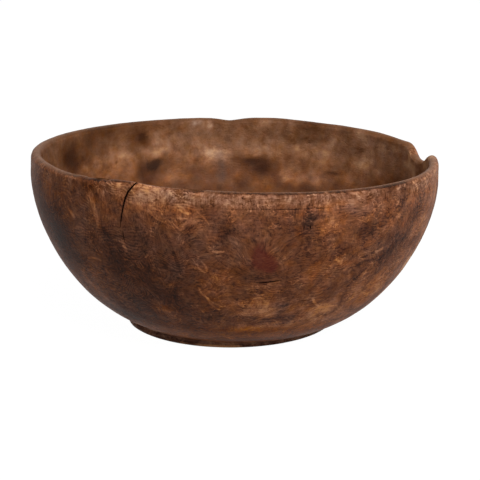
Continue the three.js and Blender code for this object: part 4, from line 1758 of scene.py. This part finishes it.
def burl_material(name, shape, wood, strokes):
    """Oiled burl: figure, grain, pores, rubbed edges with a painted highlight and a foot edge with painted
    light, over a satin finish.
    """
    material, tree = new_material(name)
    where = wire(tree, "TexCoord").outputs["Object"]
    fine = attribute(tree, "fine")
    aged = attribute(tree, "aged")
    flow = attribute(tree, "flow")
    sharpness = added(tree, SOFTEST, (fine, 1 - SOFTEST))
    inputs = {"Vector": where, "Scale": MOTTLE_SCALE, "Sharpness": sharpness}
    mottle = placed_group(tree, "burl_mottle", mottle_group, inputs)
    inputs = {"Vector": where, "Flow": flow, "Spacing": LINE_SPACING}
    grain = placed_group(tree, "curled_grain", grain_group, inputs)
    inputs = {"Vector": where, "Flow": flow, "Scale": FLECK_SCALE}
    flecks = placed_group(tree, "curly_flecks", fleck_group, inputs)
    inputs = {"Vector": where, "Scale": PORE_SCALE}
    pores = placed_group(tree, "open_pores", pore_group, inputs)["Pores"]

    detail = added(
        tree,
        0.0,
        (mottle["Speckle"], SPECKLE_SHARE),
        (grain["Fibre"], FIBRE_SHARE),
        (flecks["Bright"], BRIGHT_FLECK_SHARE),
        (flecks["Dark"], DARK_FLECK_SHARE),
        (grain["Lines"], LINE_SHARE),
        (pores, PORE_SHARE),
    )
    ragged_edge = added(tree, 1.0, (mottle["Mottle"], RAGGED_PATCHES))
    figure_and_light = times(tree, attribute(tree, "figure_and_light_tone"), ragged_edge)
    tone = added(tree, 0.5, (figure_and_light, FIGURE_SHARE), (mottle["Mottle"], MOTTLE_SHARE), (detail, fine))
    if strokes:
        ragged = times(tree, mottle["Speckle"], RAGGED_STROKES)
        tone = added(tree, tone, (stroke_sum(tree, shape, ragged), STROKE_SHARE))

    bleached = times(tree, aged, ranged(tree, tone, *BLEACHED_TONES, *BLEACHED_SHARES))
    inputs = {"Vector": where, "Scale": DRIFT_SCALE, "Detail": 3.0}
    drift = parts_of(tree, wire(tree, "TexNoise", None, inputs).outputs["Color"])
    warmth = attribute(tree, "figure_and_light_warmth")
    saturation = added(
        tree,
        SATURATION,
        (warmth, WARMTH_SATURATION),
        (bleached, BLEACHED_SATURATION),
        (drift["X"], DRIFT_SATURATION),
    )
    hue = added(tree, HUE, (aged, AGED_HUE), (fine, FINE_HUE), (drift["Y"], DRIFT_HUE))
    inputs = {"Hue": hue, "Saturation": saturation, "Color": wood_colours(tree, tone, wood)}
    surface = wire(tree, "HueSaturation", None, inputs).outputs[0]

    # The lip's crest: rubbed dry wood, with a painted highlight
    edge = times(tree, attribute(tree, "rubbed_and_lit"), plus(tree, mottle["Speckle"], RUBBED_AND_LIT_BASE))
    surface = mixed(tree, edge, surface, (*wood.rubbed_and_lit, 1.0))
    # The foot's lower edge: bare worn wood, with painted light in the bowl's shade
    bare_and_lit = times(tree, attribute(tree, "foot_edge"), plus(tree, mottle["Speckle"], BARE_LIT_BASE))
    surface = mixed(tree, ranged(tree, bare_and_lit, *BARE_LIT_EDGE), surface, (*wood.bare_and_lit, 1.0))
    for field, shade in (("knot_red", wood.red_knot), ("knot_black", wood.black_knot)):
        breaks = ((mottle["Speckle"], RAGGED_STAINS), (grain["Fibre"], RAGGED_STAINS))
        spread = added(tree, attribute(tree, field), *breaks)
        share = ranged(tree, spread, *STAIN_EDGE, 0.0, STAIN_MOST)
        surface = mixed(tree, share, surface, (*shade, 1.0))

    relief = added(tree, 0.0, (detail, GRAIN_RELIEF), (pores, PORE_RELIEF))
    inputs = {"Strength": RELIEF_STRENGTH, "Distance": RELIEF_HEIGHT, "Height": relief}
    bump = wire(tree, "Bump", None, inputs).outputs[0]
    rough = added(tree, ROUGHNESS, (mottle["Mottle"], MOTTLE_ROUGHNESS))
    inputs = {"Base Color": surface, "Roughness": rough, "Normal": bump, "Specular IOR Level": GLOSS}
    shader = wire(tree, "BsdfPrincipled", None, inputs)
    wire(tree, "OutputMaterial", None, {"Surface": shader.outputs[0]})
    return material


def finish_piece(piece, node, material):
    """Smooths a piece, gives it its wood, and hands it to the frame."""
    make_active(piece)
    bpy.ops.object.shade_smooth_by_angle(angle=SMOOTH_ANGLE)
    piece.data.materials.clear()
    piece.data.materials.append(material)
    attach(piece, BODY)
    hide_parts(node)


class BURL_OT_bowl(bpy.types.Operator):
    """Turn the bowl, wear it, crack it and cut the pockets for its knots"""

    bl_idname = "burl.bowl"
    bl_label = "Burl bowl"

    def execute(self, context):
        shape = context.scene.burl_shape
        shell = spun_shell(shape)
        wear_shell(shell, shape)
        roughen_shell(shell, shape)
        seat_foot(shell, shape)
        for knot in KNOTS:
            plug = knot_plug("plug", shape, knot, 0.0)
            piece = copy_of(shell, knot.name)
            apply_modifier(piece, "BOOLEAN", operation="INTERSECT", object=plug, solver="MANIFOLD")
            bpy.data.meshes.remove(plug.data)
        cutters = [crack_cutter(shape)]
        cutters += [check_cutter(shape, check) for check in CHECKS]
        cutters += [knot_plug("pocket", shape, knot, SEAT_GAP) for knot in KNOTS]
        cutter = joined(cutters)
        apply_modifier(shell, "BOOLEAN", operation="DIFFERENCE", object=cutter, solver="MANIFOLD")
        bpy.data.meshes.remove(cutter.data)
        paint_places(shell, shape)
        material = burl_material("oiled_burl", shape, context.scene.burl_wood, True)
        finish_piece(shell, "bowl_body", material)
        return {"FINISHED"}


class BURL_OT_knots(bpy.types.Operator):
    """Finish the two encased knots that sit in the bowl's wall"""

    bl_idname = "burl.knots"
    bl_label = "Encased knots"

    def execute(self, context):
        shape = context.scene.burl_shape
        wood = context.scene.burl_wood
        for knot in KNOTS:
            piece = bpy.data.objects[knot.name]
            paint_places(piece, shape)
            finish_piece(piece, knot.node, burl_material(knot.slot, shape, wood, False))
        return {"FINISHED"}


def seen_white(tree):
    """One for the rays that find a white studio: the camera's, and those that make reflections."""
    rays = wire(tree, "LightPath").outputs
    reflected = maths(tree, "MAXIMUM", rays["Is Glossy Ray"], rays["Is Transmission Ray"])
    return maths(tree, "MAXIMUM", rays["Is Camera Ray"], reflected)


def floor_material():
    """A floor that the camera sees near white, with a soft shadow, and that lights the bowl as plain grey."""
    material, tree = new_material("studio_floor")
    plain = wire(tree, "BsdfDiffuse", None, {"Color": FLOOR_GREY})
    glow = wire(tree, "Emission", None, {"Color": WHITE, "Strength": FLOOR_GLOW})
    share = times(tree, seen_white(tree), FLOOR_GLOW_SHARE)
    blend = wire(tree, "MixShader", None, {0: share, 1: plain.outputs[0], 2: glow.outputs[0]})
    wire(tree, "OutputMaterial", None, {"Surface": blend.outputs[0]})
    return material


def white_world(ambient):
    """Light from all round, seen as white by the camera and in reflections."""
    world = bpy.data.worlds.new("white_studio")
    world.use_nodes = True
    tree = world.node_tree
    tree.nodes.clear()
    strength = maths(tree, "MAXIMUM", seen_white(tree), ambient)
    background = wire(tree, "Background", None, {"Color": WHITE, "Strength": strength})
    wire(tree, "OutputWorld", None, {"Surface": background.outputs[0]})
    return world


def add_lamp(name, place, size, power):
    """A square soft lamp aimed at the bowl."""
    bpy.ops.object.light_add(type="AREA", location=place)
    lamp = bpy.context.object
    lamp.name = name
    lamp.data.size = size
    lamp.data.energy = power
    aim = Vector(AIM) - Vector(place)
    lamp.rotation_euler = aim.to_track_quat("-Z", "Y").to_euler()


def add_camera():
    middle = (FRAME_PIXELS - 1) / 2
    back = Vector((0.0, -math.cos(CAMERA_RISE), math.sin(CAMERA_RISE)))
    bpy.ops.object.camera_add(location=Vector(AIM) + back * CAMERA_DISTANCE)
    camera = bpy.context.object
    camera.name = "photo_camera"
    camera.rotation_euler = (-back).to_track_quat("-Z", "Y").to_euler()
    camera.data.sensor_width = SENSOR
    camera.data.lens = SENSOR * PIXELS_PER_METRE * CAMERA_DISTANCE / FRAME_PIXELS
    camera.data.shift_x = (middle - AIM_PIXEL[0]) / FRAME_PIXELS
    camera.data.shift_y = (AIM_PIXEL[1] - middle) / FRAME_PIXELS
    bpy.context.scene.camera = camera


class BURL_OT_stage(bpy.types.Operator):
    """Set the bowl on a white floor under soft lamps, with the camera where the photograph was taken"""

    bl_idname = "burl.stage"
    bl_label = "White studio"

    def execute(self, context):
        settings = context.scene.burl_stage
        deselect_all()
        bpy.ops.mesh.primitive_plane_add(size=settings.floor_size)
        floor = context.object
        floor.name = "studio_floor"
        floor.location.z = -FLOOR_GAP
        floor.data.materials.append(floor_material())
        add_lamp("key_lamp", KEY_PLACE, KEY_SIZE, settings.key_power)
        add_lamp("fill_lamp", FILL_PLACE, FILL_SIZE, settings.fill_power)
        context.scene.world = white_world(settings.ambient)
        add_camera()
        context.scene.view_settings.view_transform = "Standard"
        return {"FINISHED"}


class BURL_PT_panel(bpy.types.Panel):
    """Sidebar panel with the bowl's sizes, colours and steps"""

    bl_idname = "BURL_PT_panel"
    bl_label = "Burl Bowl"
    bl_space_type = "VIEW_3D"
    bl_region_type = "UI"
    bl_category = "Burl Bowl"

    def draw(self, context):
        for operator in OPERATORS:
            self.layout.operator(operator.bl_idname)
        for settings in (context.scene.burl_shape, context.scene.burl_wood, context.scene.burl_stage):
            box = self.layout.box()
            for name in settings.__annotations__:
                box.prop(settings, name)


SETTINGS = (
    ("burl_shape", BurlBowlShape),
    ("burl_wood", BurlBowlWood),
    ("burl_stage", BurlBowlStage),
)
OPERATORS = (BURL_OT_bowl, BURL_OT_knots, BURL_OT_stage)


def register():
    for name, group in SETTINGS:
        bpy.utils.register_class(group)
        setattr(bpy.types.Scene, name, PointerProperty(type=group))
    for kind in (*OPERATORS, BURL_PT_panel):
        bpy.utils.register_class(kind)


def unregister():
    for kind in (BURL_PT_panel, *OPERATORS):
        bpy.utils.unregister_class(kind)
    for name, group in SETTINGS:
        delattr(bpy.types.Scene, name)
        bpy.utils.unregister_class(group)


def main():
    register()
    bpy.ops.burl.bowl()
    bpy.ops.burl.knots()
    bpy.ops.burl.stage()


if __name__ == "__main__":
    main()
